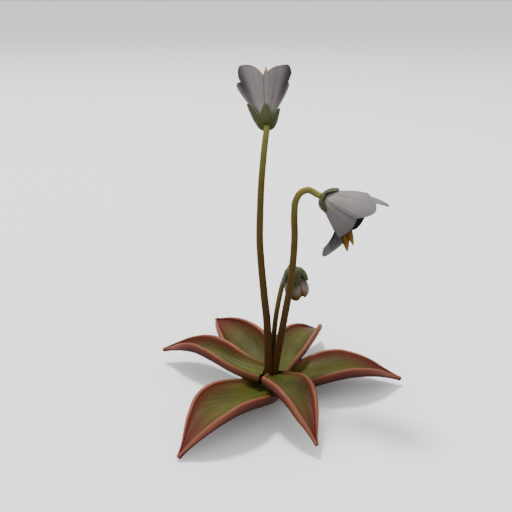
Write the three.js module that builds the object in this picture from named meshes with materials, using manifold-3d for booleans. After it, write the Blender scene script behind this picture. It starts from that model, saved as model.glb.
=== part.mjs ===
// A butterwort in flower: a rosette of six leaves with rolled margins round a short crown,
// two blooms and a hanging bud on bare stalks.
// Millimetres, +Z up, origin at the centre of the crown's flat foot. Angles are in degrees.
import * as THREE from 'three';
import { mergeVertices } from 'three/addons/utils/BufferGeometryUtils.js';
import Module from 'manifold-3d';

const wasm = await Module();
wasm.setup();

// ---------------------------------------------------------------- driving dimensions

const GAP = 0.3; // clearance between neighbouring pieces
const UP = new THREE.Vector3(0, 0, 1);

const CROWN = { height: 6.2, footRadius: 6.6, waistRadius: 7.2, topRadius: 6.2, socketFloor: 2 };

// What all leaves share. Widths and heights run over the leaf's length, 0 at its root, 1 at its tip.
const LEAF = {
  floor: 1, // thickness of the blade
  rootDepth: 0.8, // what the fleshy root adds to that
  bulge: 0.35, // how far the outer wall stands out past the rolled margin
  keel: 0.5, // extra thickness under the midrib
  groove: 0.35, // depth of the channel along the midrib
  grooveWidth: 0.13, // as a share of the half width
  bead: 0.95, // radius of the rolled margin
  tipBead: 0.42, // the same at the tip, as a share of the full radius
  wall: { root: 1.5, middle: 3.8, tip: 0.4 }, // height of the margin over the midrib
  tipRoundness: 1.22,
  rootPull: 0.4, // length of the spine's handles, as shares of its chord
  tipPull: 0.43,
  stations: 13,
};

// One entry a leaf, from the uppermost down. azimuth and reach place the tip round the crown,
// turn and swing bend the spine sideways at root and tip, rise and droop bend it up and down,
// and bank tips the blade sideways. widths and walls are the shares of the width and of the wall's
// height that the left and right halves have.
const UPPER = { rootRadius: 3.4, rootHeight: 8 };
const LOWER = { rootRadius: 4, rootHeight: 3.2 };
const LEAVES = {
  leaf_1: { root: [1.9, -2, 8.9], azimuth: -71, reach: 46.2, tipHeight: 4.8, rise: 17.4, droop: 36,
    turn: -11.8, swing: -3.4, halfWidth: 8.1, widest: 0.33, rootWidth: 0.36, bank: [6, -23],
    rootDepth: 3.2, rootWall: 0.4, widths: [0.84, 0.98], walls: [0.89, 0.74] },
  leaf_2: { ...UPPER, azimuth: 151.8, reach: 53, tipHeight: 6, rise: 5.9, droop: 20.2,
    turn: 13.6, swing: -22.9, halfWidth: 7.2, widest: 0.64, rootWidth: 0.82, bank: [0, 10],
    widths: [0.63, 0.94], walls: [1.08, 1.04] },
  leaf_3: { ...UPPER, azimuth: 62.9, reach: 51.2, tipHeight: 5.5, rise: 12.2, droop: 36,
    turn: -1, swing: -1.6, halfWidth: 7.6, widest: 0.44, rootWidth: 0.6, bank: [9.5, -11],
    widths: [0.86, 0.87], walls: [0.72, 0.41] },
  leaf_4: { ...LOWER, azimuth: 5.5, reach: 54, tipHeight: 3, rise: 14, droop: 23.5,
    turn: 1, swing: 2.5, halfWidth: 10.5, widest: 0.45, rootWidth: 0.6, bank: [0, -13] },
  leaf_5: { ...LOWER, azimuth: 114.1, reach: 61.9, tipHeight: 5.8, rise: -10, droop: 15.5,
    turn: -7.2, swing: 1.6, halfWidth: 9.8, widest: 0.39, rootWidth: 0.58, bank: [-9.4, -8.4],
    widths: [0.97, 0.76], walls: [1.07, 0.96] },
  leaf_6: { ...LOWER, azimuth: -125.5, reach: 56.7, tipHeight: 1.4, rise: 15.5, droop: 35,
    turn: 5.5, swing: 5.5, halfWidth: 11.5, widest: 0.42, rootWidth: 0.52, bank: [-8, 26] },
};

// The blooms and the bud share one build. Profiles are handles of a cubic curve in the plane
// through the flower's axis, as [radius, height over the foot]. spread is half the angle that a
// blade takes round the axis, and shoulder is how far its corners lie below its tip, as a share.
const FLOWER = {
  sides: 10,
  petal: { thickness: 0.65, spread: 38, shoulder: 0.17, roundness: 2.8, lap: 0.5, across: 5, along: 6 },
  sepal: { thickness: 0.6, spread: 35.5, shoulder: 0.64, roundness: 1.5, lap: 0, across: 4, along: 4 },
};
const STAMEN_FOOT = 2.6 + GAP; // height over the foot at which the stamens stand on the tube's floor

// Petals and sepals: at is the angle round the axis, lean and tip end the profile, and over says
// how far out each edge lies, left and right, in laps. crest is how far along its profile the blade
// reaches at six even places from edge to edge. By the tip, flare and lift are how far out and how
// high the two edges stand, and narrow is the share of its spread that the blade has lost.
const BLOOM_1 = {
  foot: [-2.3, 2, 107.9],
  axis: [-0.03, 0.766, 0.642],
  side: [0, -1, 0],
  petalRoot: [[1.5, 2.2], [2.4, 6.5]],
  petals: [
    { at: -37, spread: 39, over: [1, -1], lean: [6.4, 13.5], tip: [9.7, 23.1],
      crest: [0.975, 1.06, 1.03, 0.98, 0.9, 0.785] },
    { at: 38, spread: 40, over: [1, 1], lean: [6.4, 13.5], tip: [9.7, 23],
      crest: [0.77, 0.88, 0.955, 1.01, 1.065, 1.02] },
    { at: 108, over: [-1, 1], lean: [6.1, 13], tip: [9.8, 21.9],
      crest: [0.86, 0.95, 0.975, 0.97, 0.93, 0.84] },
    { at: 180, over: [-1, -1], lean: [6, 13], tip: [9.6, 20.6] },
    { at: 252, over: [1, -1], lean: [6.2, 13], tip: [11, 22.6],
      crest: [0.84, 0.94, 0.98, 0.985, 0.955, 0.88] },
  ],
  // closed turned shapes that carry the petals and the sepals, from the axis round to the axis
  tube: [[0, 1.5], [1.5, 1.55], [2, 3], [2.6, 5.1], [2, 5.3], [1, 2.6], [0, 2.6]],
  sepalRoot: [[2.5, 0.5], [3.9, 1.2]],
  sepals: [
    { at: 0, lean: [4, 4.4], tip: [5.3, 6.5] },
    { at: 72, lean: [4, 4.6], tip: [5.4, 6.9] },
    { at: 144, lean: [4, 4.6], tip: [5.4, 7.2] },
    { at: 216, lean: [4, 4.6], tip: [5.4, 7.2] },
    { at: 288, lean: [4.4, 5], tip: [7.1, 9.5] },
  ],
  cup: [[0, 0], [1.8, 0], [2.9, 0.4], [3.8, 2.6], [3.1, 2.8], [2, 1.2], [0, 1.2]],
  stamens: [
    { bend: [0, 0.3], tip: [0, 0.9, 29.6], thickest: 0.75 },
    { bend: [1.2, 0.6], tip: [2, 1.6, 15], thickest: 0.7 },
    { bend: [-1, -0.8], tip: [-1.8, -1.8, 14], thickest: 0.7 },
  ],
};
const BLOOM_2 = {
  foot: [17.6, -2, 83.2],
  axis: [0.867, -0.265, -0.422],
  side: [0, 0, 1],
  petalRoot: [[1.6, 1.9], [4, 3.2]],
  petals: [
    { at: 340, over: [-1, -1], lean: [9.4, 12], tip: [9.3, 24.7],
      crest: [0.62, 0.76, 0.87, 0.93, 0.965, 0.8] },
    { at: 40, over: [1, 1], lean: [9, 10.6], tip: [10, 19.9], crest: [0.8, 0.89, 0.985, 1.01, 0.95, 0.83] },
    { at: 112, spread: 42, over: [-1, 1], flare: [0, 2.4], lean: [7.4, 9.4], tip: [8, 16.6],
      crest: [0.955, 0.965, 0.965, 0.945, 0.89, 0.82] },
    { at: 180, spread: 34, over: [-1, -1], lift: [-2.4, 1.9], narrow: 0.55, lean: [5.7, 17.2],
      tip: [19.4, 12.4], crest: [0.78, 0.83, 0.99, 1.01, 0.96, 0.82] },
    { at: 252, spread: 40, over: [1, 1], lean: [9, 10], tip: [9.6, 17],
      crest: [0.93, 1.02, 1.045, 1.04, 1, 0.88] },
  ],
  tube: [[0, 1.5], [1.6, 1.5], [2.3, 2.3], [3.2, 3.7], [2.7, 4.2], [2, 3], [1.3, 2.6], [0, 2.6]],
  sepalRoot: [[1.5, 0.6], [3.4, 0.8]],
  sepals: [
    { at: 8, lean: [4.6, 2.4], tip: [6, 5] },
    { at: 120, spread: 34, lean: [4.3, 2.6], tip: [5.3, 4.7] },
    { at: 195, lean: [4, 2.4], tip: [5.2, 4.5] },
    { at: 255, lean: [4.6, 2.6], tip: [6.2, 4.8] },
    { at: 312, lean: [4.7, 2.6], tip: [6.4, 4.8] },
  ],
  cup: [[0, 0], [1.35, 0], [2.4, 0.35], [3.6, 1.35], [3.1, 1.8], [2.2, 1.5], [1.6, 1.2], [0, 1.2]],
  stamens: [
    { bend: [-4, 0.3], tip: [-13.4, 0.8, 18.3], thickest: 1.25 },
    { bend: [-3, 1], tip: [-10.1, 1.2, 19.2], thickest: 1 },
    { bend: [-0.8, -0.6], tip: [-3.4, -1.4, 16], thickest: 0.7 },
  ],
};
const BUD = {
  foot: [8.9, 7.2, 51.5],
  axis: [0.08, -0.1, -0.99],
  side: [0, -1, 0],
  petalRoot: [[1.6, 1.8], [3.2, 3.2]],
  petals: [
    { at: 4, spread: 42, over: [1, 1], lean: [6.2, 8.5], tip: [2.4, 12.9] },
    { at: 78, over: [-1, 1], lean: [5.7, 8.5], tip: [2.4, 13.2] },
    { at: 150, over: [-1, 1], lean: [6.1, 8.5], tip: [2.4, 13.4] },
    { at: 222, over: [-1, 1], lean: [6.1, 8.5], tip: [2.8, 12.8] },
    { at: 294, over: [-1, -1], lean: [6.8, 8], tip: [4.3, 11.8] },
  ],
  lap: 0.15,
  tube: [[0, 1.5], [1.6, 1.5], [2.6, 3], [3.3, 6], [3.3, 9.4], [2.2, 12], [0, 12.6]],
  sepalRoot: [[2.4, 0.6], [4, 0.7]],
  sepals: [
    { at: -6, lean: [4.8, 3.7], tip: [5.4, 6.4] },
    { at: 76, lean: [4.4, 3.8], tip: [4.8, 6.2] },
    { at: 148, lean: [4.4, 3.6], tip: [5, 6.4] },
    { at: 220, lean: [4.8, 4], tip: [5.4, 7.4] },
    { at: 292, lean: [4.9, 3.1], tip: [5.4, 5.2] },
  ],
  cup: [[0, 0], [1.9, 0], [3.2, 0.4], [4.2, 2], [3.5, 2.4], [2, 1.2], [0, 1.2]],
};

// Stalks: points on the centre line from the socket up. The flower's axis ends each line, over the
// length straight.
const STALK_SIDES = 8;
const STALKS = {
  scape_1: { flower: BLOOM_1, rootRadius: 1.5, topRadius: 0.9, straight: 1.2, steps: 20, line: [
    [-1.5, -0.7, CROWN.socketFloor + GAP], [-1.1, -0.7, 12], [-1.8, -0.6, 32], [-2.9, -0.4, 42.6],
    [-4.1, -0.2, 56], [-4.7, 0, 66], [-4.5, 0.1, 78], [-4.1, 0.1, 88], [-3.4, 0, 97], [-2.75, 0, 103.5]] },
  scape_2: { flower: BLOOM_2, rootRadius: 1.4, topRadius: 1, straight: 1.2, steps: 32, line: [
    [1.35, 0.7, CROWN.socketFloor + GAP], [1.8, 0.7, 11.3], [4.9, 0.2, 32], [7.4, -0.5, 49.4],
    [8.4, -1.5, 66], [8.1, -2, 76], [8.5, -2, 81.3], [10.2, -1.8, 84.3], [13, -1.2, 85.3]] },
  scape_3: { flower: BUD, rootRadius: 0.9, topRadius: 0.65, straight: 0.9, steps: 24, line: [
    [-0.2, 3.1, CROWN.socketFloor + GAP], [0.3, 3.1, 10.3], [1.7, 4, 30.4], [2.8, 6, 36.6], [4.2, 9.2, 42.2],
    [5.6, 11.7, 45.6], [6.6, 12.4, 47.7], [7.6, 12, 49.8], [8.35, 10.5, 52], [8.65, 8.8, 53.1]] },
};

const FINISH = {
  crown: { color: 0x5a4a26, roughness: 0.8, metalness: 0 },
  leaf: { color: 0x70602f, roughness: 0.5, metalness: 0 },
  stalk: { color: 0x5c4a1e, roughness: 0.55, metalness: 0 },
  petal: { color: 0x8a8685, roughness: 0.6, metalness: 0 },
  sepal: { color: 0x636236, roughness: 0.6, metalness: 0 },
  stamen: { color: 0xa8741c, roughness: 0.5, metalness: 0 },
};

// ---------------------------------------------------------------- helpers

const radians = THREE.MathUtils.degToRad;
const lerp = THREE.MathUtils.lerp;
const smooth = THREE.MathUtils.smoothstep;

/** A unit vector at an azimuth and a slope above the horizontal. */
function heading(azimuth, slope) {
  const across = Math.cos(radians(slope));
  return new THREE.Vector3(
    Math.cos(radians(azimuth)) * across, Math.sin(radians(azimuth)) * across, Math.sin(radians(slope)));
}

/** Whether a closed mesh is turned inside out, from the sign of its volume. */
function isInsideOut(positions, faces) {
  const [a, b, c] = [new THREE.Vector3(), new THREE.Vector3(), new THREE.Vector3()];
  let volume = 0;
  for (let i = 0; i < faces.length; i += 3) {
    a.fromArray(positions, faces[i] * 3);
    b.fromArray(positions, faces[i + 1] * 3);
    c.fromArray(positions, faces[i + 2] * 3);
    volume += a.dot(b.cross(c));
  }
  return volume < 0;
}

/** A geometry from flat lists of coordinates and face corners, with its faces pointing out. */
function closedGeometry(positions, faces) {
  if (isInsideOut(positions, faces)) {
    faces = faces.toReversed();
  }
  const geometry = new THREE.BufferGeometry();
  geometry.setAttribute('position', new THREE.Float32BufferAttribute(positions, 3));
  geometry.setIndex(faces);
  geometry.computeVertexNormals();
  return geometry;
}

/** Skins a row of rings, each a list of points, and closes both ends with flat caps. */
function loft(rings, outline) {
  const count = rings[0].length;
  const positions = rings.flat().flatMap((point) => point.toArray());
  const faces = [];
  for (let i = 0; i + 1 < rings.length; i += 1) {
    for (let j = 0; j < count; j += 1) {
      const here = i * count + j;
      const next = i * count + ((j + 1) % count);
      faces.push(here, here + count, next + count, here, next + count, next);
    }
  }
  const last = (rings.length - 1) * count;
  const isClockWise = THREE.ShapeUtils.isClockWise(outline);
  for (const corners of THREE.ShapeUtils.triangulateShape(outline, [])) {
    const runsBack = THREE.ShapeUtils.isClockWise(corners.map((corner) => outline[corner])) !== isClockWise;
    const [a, b, c] = runsBack ? corners.toReversed() : corners;
    faces.push(a, b, c, last + c, last + b, last + a);
  }
  return closedGeometry(positions, faces);
}

/** A manifold solid from a closed geometry. */
function toSolid(geometry) {
  const bare = geometry.clone();
  bare.deleteAttribute('normal');
  bare.deleteAttribute('uv');
  const welded = mergeVertices(bare);
  return new wasm.Manifold(new wasm.Mesh({
    numProp: 3,
    vertProperties: new Float32Array(welded.attributes.position.array),
    triVerts: new Uint32Array(welded.index.array),
  }));
}

/** A geometry from a manifold solid. */
function toGeometry(solid) {
  const { vertProperties, triVerts } = solid.getMesh();
  const geometry = new THREE.BufferGeometry();
  geometry.setAttribute('position', new THREE.BufferAttribute(vertProperties, 3));
  geometry.setIndex(new THREE.BufferAttribute(triVerts, 1));
  geometry.computeVertexNormals();
  return geometry;
}

/** The largest body of a solid, without the scraps that a cut leaves. */
function largest(solid) {
  return solid.decompose().sort((a, b) => b.volume() - a.volume())[0];
}

/** Joins closed geometries into one. */
function fuse(geometries) {
  const solids = geometries.map(toSolid);
  return toGeometry(largest(solids.reduce((whole, piece) => whole.add(piece))));
}

/** Cuts closed geometries out of one. */
function carve(geometry, cutters) {
  const rest = cutters.map(toSolid).reduce((whole, cutter) => whole.subtract(cutter), toSolid(geometry));
  return toGeometry(largest(rest));
}

function turned(profile, sides) {
  const geometry = new THREE.LatheGeometry(profile.map(([r, z]) => new THREE.Vector2(r, z)), sides);
  return geometry.rotateX(Math.PI / 2);
}

function addMesh(parent, name, geometry, finish) {
  const mesh = new THREE.Mesh(geometry, new THREE.MeshStandardMaterial(finish));
  mesh.name = name;
  parent.add(mesh);
}

// ---------------------------------------------------------------- leaves

function leafSpine(leaf) {
  const root = leaf.root ? new THREE.Vector3(...leaf.root)
    : heading(leaf.azimuth + leaf.turn, 0).multiplyScalar(leaf.rootRadius).setZ(leaf.rootHeight);
  const tip = heading(leaf.azimuth, 0).multiplyScalar(leaf.reach).setZ(leaf.tipHeight);
  const chord = root.distanceTo(tip);
  const leave = heading(leaf.azimuth + leaf.turn, leaf.rise).multiplyScalar(LEAF.rootPull * chord);
  const arrive = heading(leaf.azimuth - leaf.swing, -leaf.droop).multiplyScalar(LEAF.tipPull * chord);
  return new THREE.CubicBezierCurve3(root, root.clone().add(leave), tip.clone().sub(arrive), tip);
}

/** Half the width of the blade at a share of its length. */
function leafHalfWidth(leaf, along) {
  const swell = Math.sin(Math.min(along / leaf.widest, 1) * Math.PI / 2) ** 1.5;
  const narrowing = Math.max(along - leaf.widest, 0) / (1 - leaf.widest);
  const toTip = Math.max(Math.cos(narrowing * Math.PI / 2), 0) ** LEAF.tipRoundness;
  return leaf.halfWidth * lerp(leaf.rootWidth, 1, swell) * toTip;
}

/** Height of the margin over the midrib at a share of the length. */
function leafWall(leaf, along) {
  const { middle, tip } = LEAF.wall;
  const root = leaf.rootWall ?? LEAF.wall.root;
  return along < 0.5 ? lerp(root, middle, smooth(along, 0, 0.5)) : lerp(middle, tip, smooth(along, 0.5, 1));
}

/** Thickness of the blade under the midrib's channel at a share of the length. */
function leafDepth(leaf, along) {
  return LEAF.floor + (leaf.rootDepth ?? LEAF.rootDepth) * (1 - smooth(along, 0, 0.4));
}

/** Half the leaf's cross-section as [sideways, up] points, from the midrib round to the keel. */
function leafHalf({ halfWidth, wall, depth, bead, grow }) {
  const slim = Math.min(halfWidth / 3, 1);
  const width = Math.max(halfWidth, 0.05);
  const lift = wall - 0.55 * bead;
  const radius = bead + grow;
  const bulge = LEAF.bulge * slim + grow;
  const points = [];
  for (const share of [0, 0.2, 0.55, 0.85]) {
    const groove = LEAF.groove * slim * Math.exp(-((share / LEAF.grooveWidth) ** 2));
    points.push([share * width, lift * share ** 3.4 - groove + grow]);
  }
  for (const angle of [200, 140, 85, 30, -25]) {
    points.push([
      width + 0.9 * bead + radius * Math.cos(radians(angle)), wall + radius * Math.sin(radians(angle))]);
  }
  points.push([width + 1.3 * bead + bulge, Math.min(wall - 1.6 * bead, 0.4 * wall) - grow]);
  for (const share of [1, 0.6, 0]) {
    const keel = LEAF.keel * slim * (1 - share) ** 2;
    const out = share * width + (share === 1 ? 0.2 * bead + bulge : 0);
    points.push([out, lift * 0.5 * share ** 6 - depth - keel - grow]);
  }
  return points;
}

/** The leaf's cross-section: a tray whose margins roll over in beads, its halves set apart. */
function leafSection(leaf, { halfWidth, wall, ...rest }) {
  const { widths = [1, 1], walls = [1, 1] } = leaf;
  const [left, right] = widths.map((share, side) => leafHalf({
    halfWidth: halfWidth * share, wall: wall * walls[side], ...rest }));
  const last = right.length - 1;
  const middle = (i) => [0, (left[i][1] + right[i][1]) / 2];
  return [middle(0), ...right.slice(1, last), middle(last),
    ...left.slice(1, last).reverse().map(([y, z]) => [-y, z])];
}

/** A leaf, or with grow above 0 the room that it needs with that clearance. */
function leafGeometry(leaf, grow = 0) {
  const spine = leafSpine(leaf);
  const rings = [];
  let rootOutline;
  for (let i = 0; i <= LEAF.stations; i += 1) {
    const along = i / LEAF.stations;
    const ahead = spine.getTangentAt(along);
    const past = grow * (i === LEAF.stations ? 1 : i === 0 ? -1 : 0);
    const centre = spine.getPointAt(along).addScaledVector(ahead, past);
    const level = UP.clone().cross(ahead).normalize();
    const bank = radians(lerp(leaf.bank[0], leaf.bank[1], along));
    const sideways = level.clone().applyAxisAngle(ahead, bank);
    const up = ahead.clone().cross(sideways);
    const bead = LEAF.bead * lerp(1, LEAF.tipBead, smooth(along, 0.75, 1));
    const section = leafSection(leaf, {
      halfWidth: leafHalfWidth(leaf, along), wall: leafWall(leaf, along), depth: leafDepth(leaf, along),
      bead, grow });
    rootOutline ??= section.map(([y, z]) => new THREE.Vector2(y, z));
    rings.push(section.map(([y, z]) => centre.clone().addScaledVector(sideways, y).addScaledVector(up, z)));
  }
  return loft(rings, rootOutline);
}

// ---------------------------------------------------------------- stalks

/** The point of a flower's axis at a height over its foot. */
function onAxis({ foot, axis }, height) {
  return new THREE.Vector3(...axis).setLength(height).add(new THREE.Vector3(...foot));
}

function stalkGeometry(stalk, grow = 0) {
  const points = stalk.line.map((point) => new THREE.Vector3(...point));
  points[0].z -= grow;
  points.push(onAxis(stalk.flower, -GAP - stalk.straight), onAxis(stalk.flower, -GAP));
  const curve = new THREE.CatmullRomCurve3(points);
  const { tangents, normals, binormals } = curve.computeFrenetFrames(stalk.steps);
  const rings = tangents.map((_, i) => {
    const along = i / stalk.steps;
    const radius = lerp(stalk.rootRadius, stalk.topRadius, 1 - (1 - along) ** 2) + grow;
    return Array.from({ length: STALK_SIDES }, (_unused, side) => {
      const angle = side / STALK_SIDES * 2 * Math.PI;
      return curve.getPointAt(along)
        .addScaledVector(normals[i], radius * Math.cos(angle))
        .addScaledVector(binormals[i], radius * Math.sin(angle));
    });
  });
  const outline = Array.from({ length: STALK_SIDES }, (_unused, side) => {
    const angle = side / STALK_SIDES * 2 * Math.PI;
    return new THREE.Vector2(Math.cos(angle), Math.sin(angle));
  });
  return loft(rings, outline);
}

// ---------------------------------------------------------------- flowers

/**
 * A petal or sepal: a thin curved blade round the flower's axis. form gives what the blades of a
 * whorl share; blade gives this one's place and the end of its profile.
 */
function bladeGeometry(form, blade) {
  const profile = new THREE.CubicBezierCurve(
    ...[...form.root, blade.lean, blade.tip].map(([r, z]) => new THREE.Vector2(r, z)));
  const { over = [0, 0], flare = [0, 0], lift = [0, 0], narrow = 0, spread = form.spread } = blade;
  const crest = blade.crest
    && new THREE.SplineCurve(blade.crest.map((value, i) => new THREE.Vector2(i, value)));
  const surface = (across, along) => {
    const side = across < 0 ? 0 : 1;
    const off = Math.abs(across);
    const reached = along * (crest ? crest.getPoint(Math.min(Math.max((across + 1) / 2, 0), 1)).y
      : 1 - form.shoulder * off ** form.roundness);
    const { x, y } = profile.getPoint(reached);
    const late = smooth(reached, 0.35, 1);
    const radius = x + form.lap * off * over[side] * smooth(along, 0, 0.4) + flare[side] * late * off ** 2;
    const angle = radians(blade.at + spread * across * (1 - narrow * smooth(reached, 0.4, 1)));
    return new THREE.Vector3(radius * Math.cos(angle), radius * Math.sin(angle), y + lift[side] * late * off);
  };
  const step = 1e-3;
  const point = (across, along, side) => {
    const here = surface(across, along);
    const sideways = surface(across + step, along).sub(surface(across - step, along));
    const onward = surface(across, Math.min(along + step, 1)).sub(surface(across, Math.max(along - step, 0)));
    return here.addScaledVector(sideways.cross(onward).normalize(), side * form.thickness / 2);
  };
  const columns = form.across + 1;
  const rows = form.along + 1;
  const positions = [];
  for (const side of [1, -1]) {
    for (let row = 0; row < rows; row += 1) {
      for (let column = 0; column < columns; column += 1) {
        positions.push(...point(2 * column / form.across - 1, row / form.along, side).toArray());
      }
    }
  }
  const under = rows * columns;
  const faces = [];
  for (let row = 0; row < form.along; row += 1) {
    for (let column = 0; column < form.across; column += 1) {
      const a = row * columns + column;
      const [b, c, d] = [a + 1, a + columns + 1, a + columns];
      faces.push(a, b, c, a, c, d, a + under, c + under, b + under, a + under, d + under, c + under);
    }
  }
  const edge = [];
  for (let column = 0; column < form.across; column += 1) edge.push(column);
  for (let row = 0; row < form.along; row += 1) edge.push(row * columns + form.across);
  for (let column = form.across; column > 0; column -= 1) edge.push(form.along * columns + column);
  for (let row = form.along; row > 0; row -= 1) edge.push(row * columns);
  edge.forEach((here, i) => {
    const next = edge[(i + 1) % edge.length];
    faces.push(here, here + under, next + under, here, next + under, next);
  });
  return closedGeometry(positions, faces);
}

/** A stamen that bends from the tube's floor to its tip and swells to an anther below it. */
function stamenGeometry({ bend, tip, thickest }) {
  const curve = new THREE.CubicBezierCurve3(
    new THREE.Vector3(0, 0, STAMEN_FOOT),
    new THREE.Vector3(0, 0, STAMEN_FOOT + tip[2] * 0.35),
    new THREE.Vector3(bend[0], bend[1], tip[2] * 0.62),
    new THREE.Vector3(...tip));
  const steps = 10;
  const sides = 6;
  const { normals, binormals } = curve.computeFrenetFrames(steps);
  const circle = Array.from({ length: sides }, (_unused, side) => side / sides * 2 * Math.PI);
  const rings = normals.map((normal, i) => {
    const along = i / steps;
    const radius = along < 0.75
      ? lerp(0.6, thickest, smooth(along, 0.3, 0.62)) : lerp(thickest, 0.2, ((along - 0.75) / 0.25) ** 1.4);
    return circle.map((angle) => curve.getPointAt(along)
      .addScaledVector(normal, radius * Math.cos(angle))
      .addScaledVector(binormals[i], radius * Math.sin(angle)));
  });
  return loft(rings, circle.map((angle) => new THREE.Vector2(Math.cos(angle), Math.sin(angle))));
}

/** A group whose +Z is the flower's axis, with its origin at the flower's foot. */
function flowerGroup({ foot, axis, side }) {
  const z = new THREE.Vector3(...axis).normalize();
  const x = new THREE.Vector3(...side);
  x.addScaledVector(z, -x.dot(z)).normalize();
  const group = new THREE.Group();
  group.quaternion.setFromRotationMatrix(new THREE.Matrix4().makeBasis(x, z.clone().cross(x), z));
  group.position.set(...foot);
  return group;
}

function whorl(form, blades, base) {
  return fuse([turned(base, FLOWER.sides), ...blades.map((blade) => bladeGeometry(form, blade))]);
}

/** Adds a flower's parts, named name_PART, under one group. */
function addFlower(parent, name, flower, petalsName) {
  const petal = { ...FLOWER.petal, root: flower.petalRoot, lap: flower.lap ?? FLOWER.petal.lap };
  const sepal = { ...FLOWER.sepal, root: flower.sepalRoot };
  const group = flowerGroup(flower);
  addMesh(group, `${name}_${petalsName}`, whorl(petal, flower.petals, flower.tube), FINISH.petal);
  addMesh(group, `${name}_calyx`, whorl(sepal, flower.sepals, flower.cup), FINISH.sepal);
  if (flower.stamens) {
    addMesh(group, `${name}_stamens`, fuse(flower.stamens.map(stamenGeometry)), FINISH.stamen);
  }
  parent.add(group);
}

// ---------------------------------------------------------------- crown

/** The crown: a short stub with a flat foot. With grow it is the room the leaves leave for it. */
function crownGeometry(grow = 0) {
  const { height, footRadius, waistRadius, topRadius } = CROWN;
  return turned([
    [0, -grow], [footRadius + grow, -grow], [waistRadius + grow, height * 0.35],
    [topRadius + grow, height + grow], [0, height + grow]], 24);
}

// ---------------------------------------------------------------- assembly

const plant = new THREE.Group();

const stalkRooms = Object.values(STALKS).map((stalk) => stalkGeometry(stalk, GAP));
addMesh(plant, 'crown', carve(crownGeometry(), stalkRooms), FINISH.crown);

const crownRoom = crownGeometry(GAP);
const leavesAbove = [];
for (const [name, leaf] of Object.entries(LEAVES)) {
  const geometry = carve(leafGeometry(leaf), [crownRoom, ...stalkRooms, ...leavesAbove]);
  addMesh(plant, name, geometry, FINISH.leaf);
  leavesAbove.push(leafGeometry(leaf, GAP));
}

for (const [name, stalk] of Object.entries(STALKS)) {
  addMesh(plant, name, stalkGeometry(stalk), FINISH.stalk);
}
addFlower(plant, 'bloom_1', BLOOM_1, 'corolla');
addFlower(plant, 'bloom_2', BLOOM_2, 'corolla');
addFlower(plant, 'bud', BUD, 'petals');

export default plant;
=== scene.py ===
"""A butterwort in flower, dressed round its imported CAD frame.

Sizes are in millimetres until a mesh is made. The frame has +Z up, its origin at the centre of the
crown's flat foot and its front towards -Y. Angles are in degrees. A pair that is named for a place
along or across something says where, from 0 to 1, a change starts and where it is complete.
"""

import logging
import math
from collections.abc import Sequence
from dataclasses import dataclass, replace
from enum import Enum

import bpy
import numpy as np
from mathutils import Matrix, Vector

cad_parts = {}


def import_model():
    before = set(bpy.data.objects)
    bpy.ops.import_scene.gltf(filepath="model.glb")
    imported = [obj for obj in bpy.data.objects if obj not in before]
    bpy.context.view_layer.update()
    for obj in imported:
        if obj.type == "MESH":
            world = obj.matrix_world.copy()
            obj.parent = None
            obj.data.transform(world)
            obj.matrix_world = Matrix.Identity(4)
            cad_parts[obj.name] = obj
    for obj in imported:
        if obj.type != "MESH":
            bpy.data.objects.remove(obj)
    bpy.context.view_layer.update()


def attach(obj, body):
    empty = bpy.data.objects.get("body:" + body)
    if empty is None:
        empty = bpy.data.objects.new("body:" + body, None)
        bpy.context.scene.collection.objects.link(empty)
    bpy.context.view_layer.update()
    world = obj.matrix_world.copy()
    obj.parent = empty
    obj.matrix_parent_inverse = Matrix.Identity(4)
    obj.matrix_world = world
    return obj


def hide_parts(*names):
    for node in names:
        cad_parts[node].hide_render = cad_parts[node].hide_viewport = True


LOG = logging.getLogger("butterwort")

MM = 0.001
ROOT = "root"
UP = np.array([0.0, 0.0, 1.0])
SHARP_ANGLE = 58.0
CURVE_SAMPLES = 401
PROFILE_STEPS = 4
SHORTEST = 1e-4
NUDGE = 1e-3

FLOAT = "NodeSocketFloat"
INTEGER = "NodeSocketInt"
GEOMETRY = "NodeSocketGeometry"
MATERIAL = "NodeSocketMaterial"

Pair = tuple[float, float]
Point = tuple[float, float, float]
Colour = tuple[float, float, float]
Stops = tuple[tuple[float, Colour], ...]


# ---------------------------------------------------------------- numbers and curves


def srgb(red: float, green: float, blue: float) -> Colour:
    """Turns a display colour into the linear one that shaders take.

    Args:
        red: Red from 0 to 255.
        green: Green from 0 to 255.
        blue: Blue from 0 to 255.

    Returns:
        The linear colour, each channel from 0 to 1.
    """
    def linear(channel: float) -> float:
        """One channel, from 0 to 255, made linear."""
        share = channel / 255
        return share / 12.92 if share <= 0.04045 else ((share + 0.055) / 1.055) ** 2.4

    return linear(red), linear(green), linear(blue)


def smooth(value: np.ndarray, low: float, high: float) -> np.ndarray:
    """An S-shaped step from 0 at low to 1 at high."""
    share = np.clip((value - low) / (high - low), 0, 1)
    return share * share * (3 - 2 * share)


def lerp(first: float, second: float, share: np.ndarray) -> np.ndarray:
    """The value at a share of the way from first to second."""
    return first + (second - first) * share


def heading(azimuth: float, slope: float) -> np.ndarray:
    """A unit vector at an azimuth and a slope.

    Args:
        azimuth: The angle from +X towards +Y.
        slope: The angle above the horizontal.

    Returns:
        The vector.
    """
    turn, tilt = math.radians(azimuth), math.radians(slope)
    level = math.cos(tilt)
    return np.array([math.cos(turn) * level, math.sin(turn) * level, math.sin(tilt)])


def unit(vectors: np.ndarray) -> np.ndarray:
    """The vectors along the last axis, each scaled to length 1."""
    return vectors / np.linalg.norm(vectors, axis=-1, keepdims=True)


def circle(sides: int) -> np.ndarray:
    """The angles of a ring's points, in radians."""
    return np.linspace(0, 2 * math.pi, sides, endpoint=False)


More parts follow.
